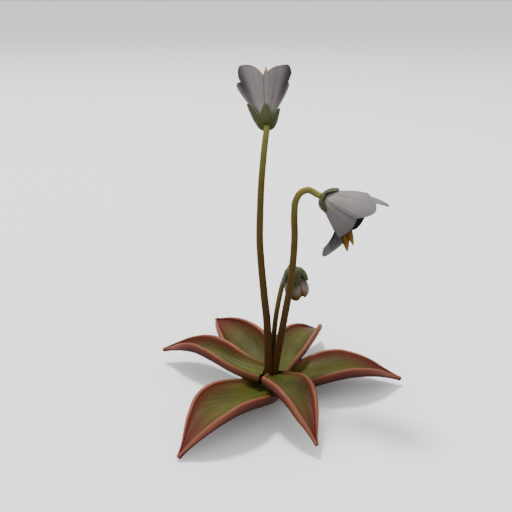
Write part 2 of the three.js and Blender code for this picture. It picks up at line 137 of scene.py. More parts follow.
def cubic(handles: np.ndarray, shares: np.ndarray) -> np.ndarray:
    """Points of a cubic Bezier curve.

    Args:
        handles: The four handles, one a row.
        shares: Where on the curve, 0 to 1, of any shape.

    Returns:
        The points, with the coordinates along a new last axis.
    """
    t = shares[..., None]
    a, b, c, d = handles
    return (1 - t) ** 3 * a + 3 * (1 - t) ** 2 * t * b + 3 * (1 - t) * t * t * c + t ** 3 * d


def cubic_by_length(handles: np.ndarray, shares: np.ndarray) -> tuple[np.ndarray, np.ndarray]:
    """Points and headings of a cubic Bezier curve at shares of its length.

    Args:
        handles: The four handles, one a row.
        shares: Shares of the curve's length, 0 to 1.

    Returns:
        The points and the unit vectors along the curve, one a row.
    """
    dense = np.linspace(0, 1, CURVE_SAMPLES)
    line = cubic(handles, dense)
    walked = np.concatenate([[0], np.cumsum(np.linalg.norm(np.diff(line, axis=0), axis=1))])
    at = np.interp(shares, walked / walked[-1], dense)
    t = at[:, None]
    a, b, c, d = handles
    ahead = (1 - t) ** 2 * (b - a) + 2 * (1 - t) * t * (c - b) + t * t * (d - c)
    return cubic(handles, at), unit(ahead)


def smooth_through(points: np.ndarray, steps: Sequence[int]) -> np.ndarray:
    """A centripetal Catmull-Rom curve through points.

    Args:
        points: The points along the last axis but one, in any number of rows of curves.
        steps: How many steps each stretch between two points gets.

    Returns:
        The finer points, along the same axis.
    """
    first = 2 * points[..., :1, :] - points[..., 1:2, :]
    last = 2 * points[..., -1:, :] - points[..., -2:-1, :]
    padded = np.concatenate([first, points, last], axis=-2)
    stretches = []
    for index, count in enumerate(steps):
        p0, p1, p2, p3 = (padded[..., index + k:index + k + 1, :] for k in range(4))
        d0, d1, d2 = (
            np.maximum(np.linalg.norm(b - a, axis=-1, keepdims=True) ** 0.5, SHORTEST)
            for a, b in ((p0, p1), (p1, p2), (p2, p3)))
        t1 = d1 * ((p1 - p0) / d0 - (p2 - p0) / (d0 + d1) + (p2 - p1) / d1)
        t2 = d1 * ((p2 - p1) / d1 - (p3 - p1) / (d1 + d2) + (p3 - p2) / d2)
        t = (np.arange(count) / count)[:, None]
        square = 3 * (p2 - p1) - 2 * t1 - t2
        cube = 2 * (p1 - p2) + t1 + t2
        stretches.append(p1 + t1 * t + square * t ** 2 + cube * t ** 3)
    stretches.append(points[..., -1:, :])
    return np.concatenate(stretches, axis=-2)


def smooth_at(values: Sequence[float], shares: np.ndarray) -> np.ndarray:
    """Values at shares of the way along an evenly spaced list, on a smooth curve through it.

    Args:
        values: The list.
        shares: Where to read it, 0 to 1.

    Returns:
        The values there.
    """
    listed = np.array([2 * values[0] - values[1], *values, 2 * values[-1] - values[-2]])
    place = np.clip(shares, 0, 1) * (len(values) - 1)
    index = np.minimum(place.astype(int), len(values) - 2)
    t = place - index
    p0, p1, p2, p3 = (listed[index + k] for k in range(4))
    square = 2 * p0 - 5 * p1 + 4 * p2 - p3
    cube = 3 * (p1 - p2) + p3 - p0
    return p1 + 0.5 * t * (p2 - p0 + t * (square + t * cube))


# ---------------------------------------------------------------- surfaces and pieces


@dataclass
class Surface:
    """A mesh in the making: points in millimetres, faces, and values that the finishes read."""

    points: np.ndarray
    faces: list[tuple[int, ...]]
    values: dict[str, np.ndarray]

    def outward(self) -> "Surface":
        """Turns the closed surface's faces to point out.

        Returns:
            The same surface.
        """
        volume = 0.0
        for face in self.faces:
            first = self.points[face[0]]
            for second, third in zip(face[1:-1], face[2:]):
                volume += float(np.dot(first, np.cross(self.points[second], self.points[third])))
        if volume < 0:
            self.faces = [tuple(reversed(face)) for face in self.faces]
        return self

    def placed(self, matrix: Matrix) -> "Surface":
        """Moves the surface.

        Args:
            matrix: The move, in millimetres.

        Returns:
            The same surface.
        """
        turn = np.array(matrix.to_3x3())
        self.points = self.points @ turn.T + np.array(matrix.translation)
        return self


def joined(surfaces: Sequence[Surface]) -> Surface:
    """Puts surfaces into one.

    Args:
        surfaces: The surfaces, which all carry values of the same names.

    Returns:
        One surface that holds them all.
    """
    faces: list[tuple[int, ...]] = []
    start = 0
    for surface in surfaces:
        faces.extend(tuple(corner + start for corner in face) for face in surface.faces)
        start += len(surface.points)
    values = {name: np.concatenate([surface.values[name] for surface in surfaces])
              for name in surfaces[0].values}
    return Surface(np.concatenate([surface.points for surface in surfaces]), faces, values)


def tube(rings: np.ndarray, values: dict[str, np.ndarray]) -> Surface:
    """Skins a row of closed rings and closes both ends.

    Args:
        rings: The rings' points, as rows, columns and coordinates.
        values: Values in the same rows and columns.

    Returns:
        The closed surface.
    """
    rows, columns = rings.shape[:2]
    faces: list[tuple[int, ...]] = []
    for row in range(rows - 1):
        for column in range(columns):
            here, after = row * columns + column, row * columns + (column + 1) % columns
            faces.append((here, here + columns, after + columns, after))
    count = rows * columns
    centres = np.stack([rings[0].mean(axis=0), rings[-1].mean(axis=0)])
    for column in range(columns):
        after = (column + 1) % columns
        faces.append((column, after, count))
        faces.append((count - columns + after, count - columns + column, count + 1))
    ends = {name: np.concatenate([value.ravel(), [value[0].mean(), value[-1].mean()]])
            for name, value in values.items()}
    return Surface(np.concatenate([rings.reshape(-1, 3), centres]), faces, ends).outward()


def sheet(outer: np.ndarray, inner: np.ndarray, values: dict[str, np.ndarray]) -> Surface:
    """Closes two facing grids of points into a thin blade.

    Args:
        outer: The outer face's points, as rows, columns and coordinates.
        inner: The inner face's points, in the same order.
        values: Values in the same rows and columns.

    Returns:
        The closed surface, with a value named inner that is 1 on the inner face.
    """
    rows, columns = outer.shape[:2]
    under = rows * columns
    faces: list[tuple[int, ...]] = []
    for row in range(rows - 1):
        for column in range(columns - 1):
            a = row * columns + column
            b, c, d = a + 1, a + columns + 1, a + columns
            faces += [(a, b, c, d), (a + under, d + under, c + under, b + under)]
    grid = np.arange(under).reshape(rows, columns)
    edge = [*grid[0, :-1], *grid[:-1, -1], *grid[-1, :0:-1], *grid[:0:-1, 0]]
    for here, after in zip(edge, edge[1:] + edge[:1]):
        faces.append((int(here), int(here + under), int(after + under), int(after)))
    both = {name: np.concatenate([value.ravel(), value.ravel()]) for name, value in values.items()}
    both["inner"] = np.concatenate([np.zeros(under), np.ones(under)])
    points = np.concatenate([outer.reshape(-1, 3), inner.reshape(-1, 3)])
    return Surface(points, faces, both).outward()


def turned(profile: Sequence[Pair], sides: int, values: dict[str, float]) -> Surface:
    """Turns a profile round +Z.

    Args:
        profile: [radius, height] points from the axis round to the axis.
        sides: How many sides the turned shape has.
        values: Values that are the same all over.

    Returns:
        The closed surface.
    """
    steps = [PROFILE_STEPS] * (len(profile) - 3)
    line = smooth_through(np.array(profile[1:-1], dtype=float), steps)
    turns = circle(sides)
    rings = np.stack([
        line[:, :1] * np.cos(turns), line[:, :1] * np.sin(turns),
        np.repeat(line[:, 1:], sides, axis=1)], axis=2)
    return tube(rings, {name: np.full(rings.shape[:2], value) for name, value in values.items()})


def linked(name: str, data: bpy.types.ID) -> bpy.types.Object:
    """Makes an object for a mesh, a curve, a light or a camera.

    Args:
        name: The object's name.
        data: What it holds.

    Returns:
        The object, linked to the scene.
    """
    thing = bpy.data.objects.new(name, data)
    bpy.context.scene.collection.objects.link(thing)
    return thing


def object_from(surface: Surface, name: str, material: bpy.types.Material) -> bpy.types.Object:
    """Makes an object of a surface, in metres, with its values as point attributes.

    Args:
        surface: The surface.
        name: The object's name.
        material: Its material.

    Returns:
        The object, linked to the scene.
    """
    mesh = bpy.data.meshes.new(name)
    mesh.from_pydata((surface.points * MM).tolist(), [], surface.faces)
    for key, value in surface.values.items():
        attribute = mesh.attributes.new(key, "FLOAT", "POINT")
        attribute.data.foreach_set("value", value.astype(np.float32))
    mesh.materials.append(material)
    mesh.shade_smooth()
    mesh.set_sharp_from_angle(angle=math.radians(SHARP_ANGLE))
    mesh.update()
    return linked(name, mesh)


def settle(piece: bpy.types.Object, slot: str, *nodes: str) -> None:
    """Hands a finished piece to the frame.

    Args:
        piece: The piece.
        slot: A material slot's name, which is not used.
        nodes: The CAD nodes that it stands for.
    """
    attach(piece, ROOT)
    if nodes:
        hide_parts(*nodes)
    LOG.info("%s: %d faces", piece.name, len(piece.data.polygons))


def evaluated(ground: bpy.types.Object, tree: bpy.types.NodeTree, values: dict[str, object],
              name: str) -> bpy.types.Object:
    """Runs a Geometry Nodes tree on an object and keeps the result as a plain mesh.

    Args:
        ground: The object that the tree starts from. It is left as it was.
        tree: The tree.
        values: The tree's inputs by name.
        name: The new object's name.

    Returns:
        The new object, linked to the scene.
    """
    modifier = ground.modifiers.new(name, "NODES")
    modifier.node_group = tree
    for item in tree.interface.items_tree:
        if item.item_type == "SOCKET" and item.in_out == "INPUT" and item.name in values:
            modifier[item.identifier] = values[item.name]
    ground.update_tag()
    graph = bpy.context.evaluated_depsgraph_get()
    mesh = bpy.data.meshes.new_from_object(ground.evaluated_get(graph))
    mesh.name = name
    ground.modifiers.remove(modifier)
    return linked(name, mesh)


# ---------------------------------------------------------------- node trees


class Tree:
    """Builds a node tree with short calls."""

    def __init__(self, tree: bpy.types.NodeTree) -> None:
        """Starts on an empty tree."""
        self.tree = tree

    def add(self, kind: str, inputs: dict[str | int, object] | None = None,
            **settings: object) -> bpy.types.Node:
        """Adds a node.

        Args:
            kind: The node's type name.
            inputs: Sockets to link or plain values to set, by name, identifier or place.
            settings: The node's own properties.

        Returns:
            The node.
        """
        node = self.tree.nodes.new(kind)
        for key, value in settings.items():
            setattr(node, key, value)
        for key, value in (inputs or {}).items():
            socket = node.inputs[key] if isinstance(key, int) else self._socket(node, key)
            if isinstance(value, bpy.types.NodeSocket):
                self.tree.links.new(value, socket)
            else:
                socket.default_value = value
        return node

    @staticmethod
    def _socket(node: bpy.types.Node, key: str) -> bpy.types.NodeSocket:
        """The node's input of that identifier, or else of that name."""
        matching = (each for each in node.inputs if each.identifier == key)
        return next(matching, None) or node.inputs[key]

    def math(self, operation: str, first: object, second: object = 0.0) -> bpy.types.NodeSocket:
        """The result of one operation on two numbers."""
        return self.add("ShaderNodeMath", {0: first, 1: second}, operation=operation).outputs[0]

    def product(self, first: object, *others: object) -> bpy.types.NodeSocket:
        """Multiplies numbers.

        Args:
            first: The first number, as a socket or a plain value.
            others: The numbers that it is multiplied by.

        Returns:
            The product.
        """
        for other in others:
            first = self.math("MULTIPLY", first, other)
        return first

    def inverse(self, value: object) -> bpy.types.NodeSocket:
        """What the value leaves of 1."""
        return self.math("SUBTRACT", 1.0, value)

    def scaled(self, value: object, factor: float, start: float) -> bpy.types.NodeSocket:
        """The value times a factor, counted from a start."""
        return self.math("ADD", self.math("MULTIPLY", value, factor), start)

    def step(self, value: object, low: float, high: float) -> bpy.types.NodeSocket:
        """An S-shaped step from 0 at low to 1 at high."""
        return self.add("ShaderNodeMapRange", {0: value, 1: low, 2: high},
                        interpolation_type="SMOOTHSTEP").outputs[0]

    def blend(self, share: object, first: object, second: object) -> bpy.types.NodeSocket:
        """Mixes two colours.

        Args:
            share: How much of the second shows.
            first: The first colour, as a socket or a colour.
            second: The second colour, as a socket or a colour.

        Returns:
            The mixed colour.
        """
        def full(colour: object) -> object:
            """The colour with its alpha, where it is a plain one."""
            return (*colour, 1.0) if isinstance(colour, tuple) else colour

        node = self.add("ShaderNodeMix", {
            "Factor_Float": share, "A_Color": full(first), "B_Color": full(second)},
            data_type="RGBA")
        return next(each for each in node.outputs if each.identifier == "Result_Color")

    def ramp(self, value: object, stops: Stops) -> bpy.types.NodeSocket:
        """A colour that follows a value.

        Args:
            value: The value, 0 to 1.
            stops: Places on the ramp with their colours.

        Returns:
            The colour.
        """
        node = self.add("ShaderNodeValToRGB", {0: value})
        elements = node.color_ramp.elements
        while len(elements) < len(stops):
            elements.new(0.5)
        for element, (place, colour) in zip(elements, stops):
            element.position = place
            element.color = (*colour, 1.0)
        return node.outputs[0]

    def deliver(self, geometry: bpy.types.NodeSocket, material: bpy.types.NodeSocket,
                sink: bpy.types.Node) -> bpy.types.NodeTree:
        """Ends a Geometry Nodes tree in a real mesh with a material.

        Args:
            geometry: What the tree has made.
            material: Its material.
            sink: The tree's output node.

        Returns:
            The finished tree.
        """
        real = self.add("GeometryNodeRealizeInstances", {"Geometry": geometry})
        dressed = self.add("GeometryNodeSetMaterial", {
            "Geometry": real.outputs[0], "Material": material})
        self.tree.links.new(dressed.outputs[0], sink.inputs["Geometry"])
        return self.tree


def group_tree(name: str, kind: str, inputs: Sequence[tuple[str, str, object]],
               outputs: Sequence[tuple[str, str]]) -> tuple[Tree, bpy.types.Node, bpy.types.Node]:
    """Starts a node group with named sockets.

    Args:
        name: The group's name.
        kind: ShaderNodeTree or GeometryNodeTree.
        inputs: Name, socket type and default of each input.
        outputs: Name and socket type of each output.

    Returns:
        The tree, its input node and its output node.
    """
    group = bpy.data.node_groups.new(name, kind)
    for label, socket_kind, default in inputs:
        socket = group.interface.new_socket(label, in_out="INPUT", socket_type=socket_kind)
        if default is not None:
            socket.default_value = default
    for label, socket_kind in outputs:
        group.interface.new_socket(label, in_out="OUTPUT", socket_type=socket_kind)
    tree = Tree(group)
    return tree, tree.add("NodeGroupInput"), tree.add("NodeGroupOutput")


class Effects:
    """The shader groups that more than one finish uses."""

    def __init__(self) -> None:
        """Builds the groups."""
        self.veins = self._veins()
        self.mottle = self._mottle()

    @staticmethod
    def _veins() -> bpy.types.NodeTree:
        """Thin lines at equal steps of a slanted count, with a slow wobble.

        Returns:
            The group.
        """
        tree, source, sink = group_tree(
            "veins", "ShaderNodeTree",
            [("Along", FLOAT, 0.0), ("Across", FLOAT, 0.0), ("Count Along", FLOAT, 10.0),
             ("Count Across", FLOAT, 4.0), ("Width", FLOAT, 0.1), ("Wobble", FLOAT, 0.4)],
            [("Mask", FLOAT)])
        given = source.outputs
        noise = tree.add("ShaderNodeTexNoise", {
            "Vector": tree.add("ShaderNodeTexCoord").outputs["Object"], "Scale": 130.0,
            "Detail": 2.0}).outputs[0]
        aside = tree.product(tree.math("ABSOLUTE", given["Across"]), given["Count Across"])
        count = tree.math("ADD", tree.product(given["Along"], given["Count Along"]), aside)
        wobbled = tree.math("ADD", count, tree.product(noise, given["Wobble"]))
        away = tree.math("DIVIDE", tree.math("PINGPONG", wobbled, 0.5), given["Width"])
        mask = tree.inverse(tree.step(away, low=0.2, high=1.6))
        tree.tree.links.new(mask, sink.inputs["Mask"])
        return tree.tree

    @staticmethod
    def _mottle() -> bpy.types.NodeTree:
        """Soft blotches and fine grain, each from 0 to 1.

        Returns:
            The group.
        """
        tree, source, sink = group_tree(
            "mottle", "ShaderNodeTree",
            [("Scale", FLOAT, 150.0), ("Grain Scale", FLOAT, 1600.0)],
            [("Blotch", FLOAT), ("Grain", FLOAT)])
        place = tree.add("ShaderNodeTexCoord").outputs["Object"]
        blotch = tree.add("ShaderNodeTexNoise", {
            "Vector": place, "Scale": source.outputs["Scale"], "Detail": 4.0, "Roughness": 0.55})
        grain = tree.add("ShaderNodeTexNoise", {
            "Vector": place, "Scale": source.outputs["Grain Scale"], "Detail": 3.0})
        soft = tree.step(blotch.outputs[0], low=0.3, high=0.7)
        tree.tree.links.new(soft, sink.inputs["Blotch"])
        tree.tree.links.new(grain.outputs[0], sink.inputs["Grain"])
        return tree.tree


class Shader(Tree):
    """A material in the making, with its Principled shader."""

    def __init__(self, name: str, **plain: object) -> None:
        """Starts a material.

        Args:
            name: The material's name.
            plain: Values set on the shader's own sockets, with _ for a space in their names.
        """
        self.material = bpy.data.materials.new(name)
        self.material.use_nodes = True
        super().__init__(self.material.node_tree)
        self.shader = next(node for node in self.tree.nodes if node.type == "BSDF_PRINCIPLED")
        for key, value in plain.items():
            self.shader.inputs[key.replace("_", " ")].default_value = value

    def attribute(self, name: str) -> bpy.types.NodeSocket:
        """The number that the mesh carries under a name."""
        return self.add("ShaderNodeAttribute", attribute_name=name).outputs["Fac"]

    def mottle(self, effects: Effects, scale: float,
               grain_scale: float) -> tuple[bpy.types.NodeSocket, bpy.types.NodeSocket]:
        """Places the mottle group.

        Args:
            effects: The shared groups.
            scale: The scale of the blotches.
            grain_scale: The scale of the grain.

        Returns:
            The blotches and the grain.
        """
        node = self.add("ShaderNodeGroup", {"Scale": scale, "Grain Scale": grain_scale},
                        node_tree=effects.mottle)
        return node.outputs["Blotch"], node.outputs["Grain"]

    def veins(self, effects: Effects, inputs: dict[str | int, object]) -> bpy.types.NodeSocket:
        """Places the veins group with its inputs and gives its mask."""
        return self.add("ShaderNodeGroup", inputs, node_tree=effects.veins).outputs["Mask"]

    def feed(self, **sockets: bpy.types.NodeSocket) -> None:
        """Links sockets into the shader, with _ for a space in their names."""
        for key, value in sockets.items():
            self.tree.links.new(value, self.shader.inputs[key.replace("_", " ")])

    def bump(self, height: object, depth: float) -> bpy.types.NodeSocket:
        """A normal that a height disturbs by a depth in millimetres."""
        return self.add("ShaderNodeBump", {
            "Height": height, "Distance": depth * MM, "Strength": 1.0}).outputs[0]


# ---------------------------------------------------------------- finishes


@dataclass(frozen=True)
class Section:
    """Colours round a leaf's section, from its midrib over the rolled margin to the keel."""

    midrib: Colour
    channel: Colour
    foot: Colour
    inner_wall: Colour
    crest: Colour
    shoulder: Colour
    outer_wall: Colour
    underside: Colour
    keel: Colour

    def stops(self) -> Stops:
        """Puts the colours at their places round the section.

        Returns:
            The places, 0 to 1, with their colours.
        """
        return (
            (0.0, self.midrib), (0.33, self.channel), (0.475, self.foot),
            (0.525, self.inner_wall), (0.57, self.crest), (0.63, self.shoulder),
            (0.69, self.outer_wall), (0.79, self.underside), (1.0, self.keel))


@dataclass(frozen=True)
class LeafFinish:
    """Waxy leaf flesh: green in the channel, red towards the tip, with pink rolled margins."""

    root: Section = Section(
        midrib=srgb(74, 82, 26), channel=srgb(70, 72, 18), foot=srgb(90, 80, 38),
        inner_wall=srgb(110, 84, 46), crest=srgb(76, 58, 26), shoulder=srgb(90, 58, 34),
        outer_wall=srgb(105, 63, 43), underside=srgb(79, 50, 29), keel=srgb(72, 58, 30))
    middle: Section = Section(
        midrib=srgb(76, 74, 27), channel=srgb(59, 54, 11), foot=srgb(76, 42, 25),
        inner_wall=srgb(114, 58, 44), crest=srgb(134, 83, 62), shoulder=srgb(104, 57, 40),
        outer_wall=srgb(96, 49, 42), underside=srgb(60, 33, 27), keel=srgb(56, 36, 22))
    tip: Section = Section(
        midrib=srgb(85, 34, 30), channel=srgb(78, 27, 26), foot=srgb(75, 26, 18),
        inner_wall=srgb(85, 35, 27), crest=srgb(112, 58, 43), shoulder=srgb(127, 84, 64),
        outer_wall=srgb(151, 88, 73), underside=srgb(72, 28, 24), keel=srgb(58, 29, 23))
    middle_along: Pair = (0.05, 0.4)
    tip_along: Pair = (0.45, 0.98)
    margin_girth: Pair = (0.7, 0.95)
    red_along: Pair = (0.35, 0.9)
    vein: Colour = srgb(100, 98, 40)
    vein_share: float = 0.14
    shade: Colour = srgb(44, 40, 10)
    shade_share: float = 0.42
    vein_height: float = 0.3
    depth: float = 0.12

    def material(self, effects: Effects) -> bpy.types.Material:
        """Builds the leaf's material.

        Args:
            effects: The shared shader groups.

        Returns:
            The material.
        """
        shader = Shader("leaf_flesh", Specular_IOR_Level=0.1, Coat_Weight=0.02,
                        Coat_Roughness=0.3)
        along, girth, across = (shader.attribute(name) for name in ("along", "girth", "across"))
        half = shader.product(girth, 0.5)
        root, middle, tip = (
            shader.ramp(half, section.stops()) for section in (self.root, self.middle, self.tip))
        lower = shader.blend(shader.step(along, *self.middle_along), root, middle)
        flesh = shader.blend(shader.step(along, *self.tip_along), lower, tip)
        blotch, grain = shader.mottle(effects, scale=85.0, grain_scale=900.0)
        channel = shader.inverse(shader.step(girth, *self.margin_girth))
        green = shader.inverse(shader.step(along, *self.red_along))
        veins = shader.product(shader.veins(effects, {
            "Along": along, "Across": across, "Count Along": 9.0, "Count Across": -4.0,
            "Width": 0.22, "Wobble": 1.6}), channel)
        veined = shader.blend(shader.product(veins, green, self.vein_share), flesh, self.vein)
        patches = shader.product(blotch, channel, green, self.shade_share)
        height = shader.math("ADD", shader.product(veins, self.vein_height), grain)
        shader.feed(Base_Color=shader.blend(patches, veined, self.shade),
                    Roughness=shader.scaled(blotch, 0.12, 0.5),
                    Normal=shader.bump(height, self.depth))
        return shader.material


@dataclass(frozen=True)
class StalkFinish:
    """A stalk's skin, red-brown at the root and olive under the flower."""

    stops: Stops = (
        (0.0, srgb(68, 37, 9)), (0.27, srgb(58, 35, 6)), (0.5, srgb(78, 57, 16)),
        (0.8, srgb(96, 84, 34)), (1.0, srgb(134, 128, 66)))
    streak: Colour = srgb(54, 35, 9)
    streak_share: float = 0.25
    depth: float = 0.08

    def material(self, effects: Effects) -> bpy.types.Material:
        """Builds the stalk's material.

        Args:
            effects: The shared shader groups.

        Returns:
            The material.
        """
        shader = Shader("stalk_skin", Specular_IOR_Level=0.15)
        blotch, grain = shader.mottle(effects, scale=260.0, grain_scale=1500.0)
        skin = shader.ramp(shader.attribute("along"), self.stops)
        streaks = shader.product(blotch, self.streak_share)
        shader.feed(Base_Color=shader.blend(streaks, skin, self.streak),
                    Roughness=shader.scaled(grain, 0.2, 0.5),
                    Normal=shader.bump(grain, self.depth))
        return shader.material


@dataclass(frozen=True)
class BladeFinish:
    """The skin of petals or sepals, root to tip, with painted shade on corners and inner faces."""

    name: str
    stops: Stops
    vein: Colour
    vein_share: float
    vein_count: float
    edge: Colour
    edge_share: float
    # The painted shade on the inner faces, and how much of it they show.
    inside_shade: Colour
    inside_shade_share: float
    roughness: float
    # The colour of the painted shade on the blades' outer corners.
    smudge: Colour = srgb(38, 39, 44)
    dusting: float = 0.12
    rim_across: Pair = (0.82, 1.0)
    rim_along: Pair = (0.9, 1.0)
    depth: float = 0.07

    def material(self, effects: Effects) -> bpy.types.Material:
        """Builds the blade's material.

        Args:
            effects: The shared shader groups.

        Returns:
            The material.
        """
        shader = Shader(self.name, Specular_IOR_Level=0.12, Sheen_Weight=0.02,
                        Sheen_Roughness=0.5, Subsurface_Weight=0.05, Subsurface_Scale=MM)
        # The value inner holds how much painted shade a point takes.
        along, across, inner, smudge = (
            shader.attribute(name) for name in ("along", "across", "inner", "smudge"))
        veins = shader.veins(effects, {
            "Along": along, "Across": across, "Count Along": 0.0,
            "Count Across": self.vein_count, "Width": 0.3, "Wobble": 0.9})
        blotch, grain = shader.mottle(effects, scale=180.0, grain_scale=1400.0)
        skin = shader.ramp(along, self.stops)
        veined = shader.blend(shader.product(veins, self.vein_share), skin, self.vein)
        side = shader.step(shader.math("ABSOLUTE", across), *self.rim_across)
        rim = shader.math("MAXIMUM", side, shader.step(along, *self.rim_along))
        edged = shader.blend(shader.product(rim, self.edge_share), veined, self.edge)
        # Paints shade on the outer corners, where they turn from the light.
        shaded_face = shader.blend(smudge, edged, self.smudge)
        # Paints shade on the inner faces and on shaded outer faces.
        inside_shaded = shader.blend(shader.product(inner, self.inside_shade_share), shaded_face, self.inside_shade)
        dust = shader.product(blotch, shader.inverse(inner), self.dusting)
        height = shader.math("SUBTRACT", grain, shader.product(veins, 0.5))
        shader.feed(Base_Color=shader.blend(dust, inside_shaded, self.vein),
                    Roughness=shader.scaled(blotch, 0.1, self.roughness),
                    Normal=shader.bump(height, self.depth))
        return shader.material


# The petals' inner faces are painted near black with shade.
PETAL = BladeFinish(
    name="petal_skin",
    stops=((0.0, srgb(127, 123, 109)), (0.25, srgb(137, 133, 126)), (0.5, srgb(126, 119, 118)),
           (0.75, srgb(125, 119, 118)), (1.0, srgb(115, 110, 112))),
    vein=srgb(92, 88, 91), vein_share=0.14, vein_count=2.6, edge=srgb(92, 89, 92),
    edge_share=0.08, inside_shade=srgb(22, 23, 27), inside_shade_share=0.97, roughness=0.55)
SEPAL = BladeFinish(
    name="sepal_skin",
    stops=((0.0, srgb(66, 50, 22)), (0.15, srgb(78, 85, 47)), (0.4, srgb(71, 72, 41)),
           (0.7, srgb(73, 72, 48)), (1.0, srgb(75, 76, 52))),
    vein=srgb(52, 54, 26), vein_share=0.25, vein_count=2.5, edge=srgb(70, 58, 40),
    edge_share=0.35, inside_shade=srgb(58, 58, 38), inside_shade_share=0.6, roughness=0.5)
BUD_PETAL = BladeFinish(
    name="bud_skin",
    stops=((0.0, srgb(108, 108, 79)), (0.45, srgb(99, 90, 77)), (0.7, srgb(136, 125, 119)),
           (0.86, srgb(108, 84, 26)), (1.0, srgb(58, 40, 8))),
    vein=srgb(84, 72, 60), vein_share=0.2, vein_count=2.6, edge=srgb(74, 55, 24),
    edge_share=0.7, inside_shade=srgb(80, 64, 42), inside_shade_share=0.6, roughness=0.52)


@dataclass(frozen=True)
class StamenFinish:
    """Orange stamens, dusted darker and brightest at their points."""

    root: Colour = srgb(64, 49, 13)
    swell: Colour = srgb(104, 73, 11)
    point: Colour = srgb(160, 117, 25)
    swell_along: Pair = (0.3, 0.8)
    point_along: Pair = (0.82, 0.98)
    dusting: float = 0.35
    depth: float = 0.12

    def material(self, effects: Effects) -> bpy.types.Material:
        """Builds the stamens' material.

        Args:
            effects: The shared shader groups.

        Returns:
            The material.
        """
        shader = Shader("stamen_skin", Specular_IOR_Level=0.2)
        blotch, grain = shader.mottle(effects, scale=500.0, grain_scale=3000.0)
        along = shader.attribute("along")
        body = shader.blend(shader.step(along, *self.swell_along), self.root, self.swell)
        colour = shader.blend(shader.step(along, *self.point_along), body, self.point)
        dust = shader.product(blotch, self.dusting)
        shader.feed(Base_Color=shader.blend(dust, colour, self.root),
                    Roughness=shader.scaled(grain, 0.2, 0.4),
                    Normal=shader.bump(grain, self.depth))
        return shader.material


@dataclass(frozen=True)
class CrownFinish:
    """The crown's corky skin."""

    pale: Colour = srgb(52, 44, 22)
    dark: Colour = srgb(28, 22, 11)
    depth: float = 0.35

    def material(self, effects: Effects) -> bpy.types.Material:
        """Builds the crown's material.

        Args:
            effects: The shared shader groups.

        Returns:
            The material.
        """
        shader = Shader("crown_skin", Specular_IOR_Level=0.1)
        blotch, grain = shader.mottle(effects, scale=420.0, grain_scale=1300.0)
        shader.feed(Base_Color=shader.blend(blotch, self.pale, self.dark),
                    Roughness=shader.scaled(grain, 0.25, 0.6),
                    Normal=shader.bump(grain, self.depth))
        return shader.material


@dataclass(frozen=True)
class DewFinish:
    """The clear slime on the glands."""

    pale: Colour = srgb(100, 96, 56)
    deep: Colour = srgb(78, 72, 34)

    def material(self, effects: Effects) -> bpy.types.Material:
        """Builds the dew's material.

        Args:
            effects: The shared shader groups.

        Returns:
            The material.
        """
        shader = Shader("gland_dew", Specular_IOR_Level=0.3, Coat_Weight=0.15,
                        Coat_Roughness=0.2)
        blotch, grain = shader.mottle(effects, scale=300.0, grain_scale=2500.0)
        shader.feed(Base_Color=shader.blend(blotch, self.pale, self.deep),
                    Roughness=shader.scaled(grain, 0.1, 0.3))
        return shader.material


# ---------------------------------------------------------------- glands and hairs


class Grain(Enum):
    """What a scatter puts on a surface."""

    BEAD = "bead"
    HAIR = "hair"


class Scatter:
    """A Geometry Nodes tree that grows small glands or hairs on a surface.

    smallest and largest are shares of the asked size. hair_foot is a hair's radius at its foot as a
    share of its length, and hair_tip its tip's radius as a share of that.
    """

    smallest: float = 0.55
    largest: float = 1.15
    hair_foot: float = 0.09
    hair_tip: float = 0.4
    hair_sides: int = 4

    def __init__(self, grain: Grain) -> None:
        """Builds the tree.

        Args:
            grain: The kind of grain that it grows.
        """
        tree, source, sink = group_tree(
            f"scatter_{grain.value}", "GeometryNodeTree",
            [("Geometry", GEOMETRY, None), ("Density", FLOAT, 1.0), ("Size", FLOAT, 1.0),
             ("Seed", INTEGER, 1), ("Material", MATERIAL, None)],
            [("Geometry", GEOMETRY)])
        given = source.outputs
        where = tree.add("GeometryNodeInputNamedAttribute", {"Name": "dew"}, data_type="FLOAT")
        points = tree.add("GeometryNodeDistributePointsOnFaces", {
            "Mesh": given["Geometry"], "Density": tree.product(where.outputs[0], given["Density"]),
            "Seed": given["Seed"]})
        sizes = tree.add("FunctionNodeRandomValue", {
            "Min_001": self.smallest, "Max_001": self.largest, "Seed": given["Seed"]},
            data_type="FLOAT")
        shape = self._bead if grain is Grain.BEAD else self._hair
        copies = tree.add("GeometryNodeInstanceOnPoints", {
            "Points": points.outputs["Points"], "Instance": shape(tree, given["Size"]),
            "Rotation": points.outputs["Rotation"], "Scale": sizes.outputs[1]})
        self.tree = tree.deliver(copies.outputs[0], given["Material"], sink)

    @staticmethod
    def _bead(tree: Tree, size: bpy.types.NodeSocket) -> bpy.types.NodeSocket:
        """A droplet with few faces and that radius."""
        return tree.add("GeometryNodeMeshIcoSphere", {
            "Radius": size, "Subdivisions": 1}).outputs["Mesh"]

    def _hair(self, tree: Tree, size: bpy.types.NodeSocket) -> bpy.types.NodeSocket:
        """A hair that narrows to its tip.

        Args:
            tree: The tree that it is made in.
            size: Its length.

        Returns:
            The hair's mesh.
        """
        foot = tree.product(size, self.hair_foot)
        return tree.add("GeometryNodeMeshCone", {
            "Vertices": self.hair_sides, "Radius Top": tree.product(foot, self.hair_tip),
            "Radius Bottom": foot, "Depth": size}).outputs["Mesh"]

    def grow(self, ground: bpy.types.Object, name: str, material: bpy.types.Material,
             density: float, size: float, seed: int) -> bpy.types.Object:
        """Grows the grains and gives them as a plain mesh.

        Args:
            ground: The object whose surface carries them where its value dew is above 0.
            name: The new object's name.
            material: Their material.
            density: How many stand on a square millimetre.
            size: The droplet's radius or the hair's length in millimetres.
            seed: The random seed.

        Returns:
            The new object, linked to the scene.
        """
        return evaluated(ground, self.tree, {
            "Density": density / MM ** 2, "Size": size * MM, "Seed": seed,
            "Material": material}, name)


# ---------------------------------------------------------------- leaves


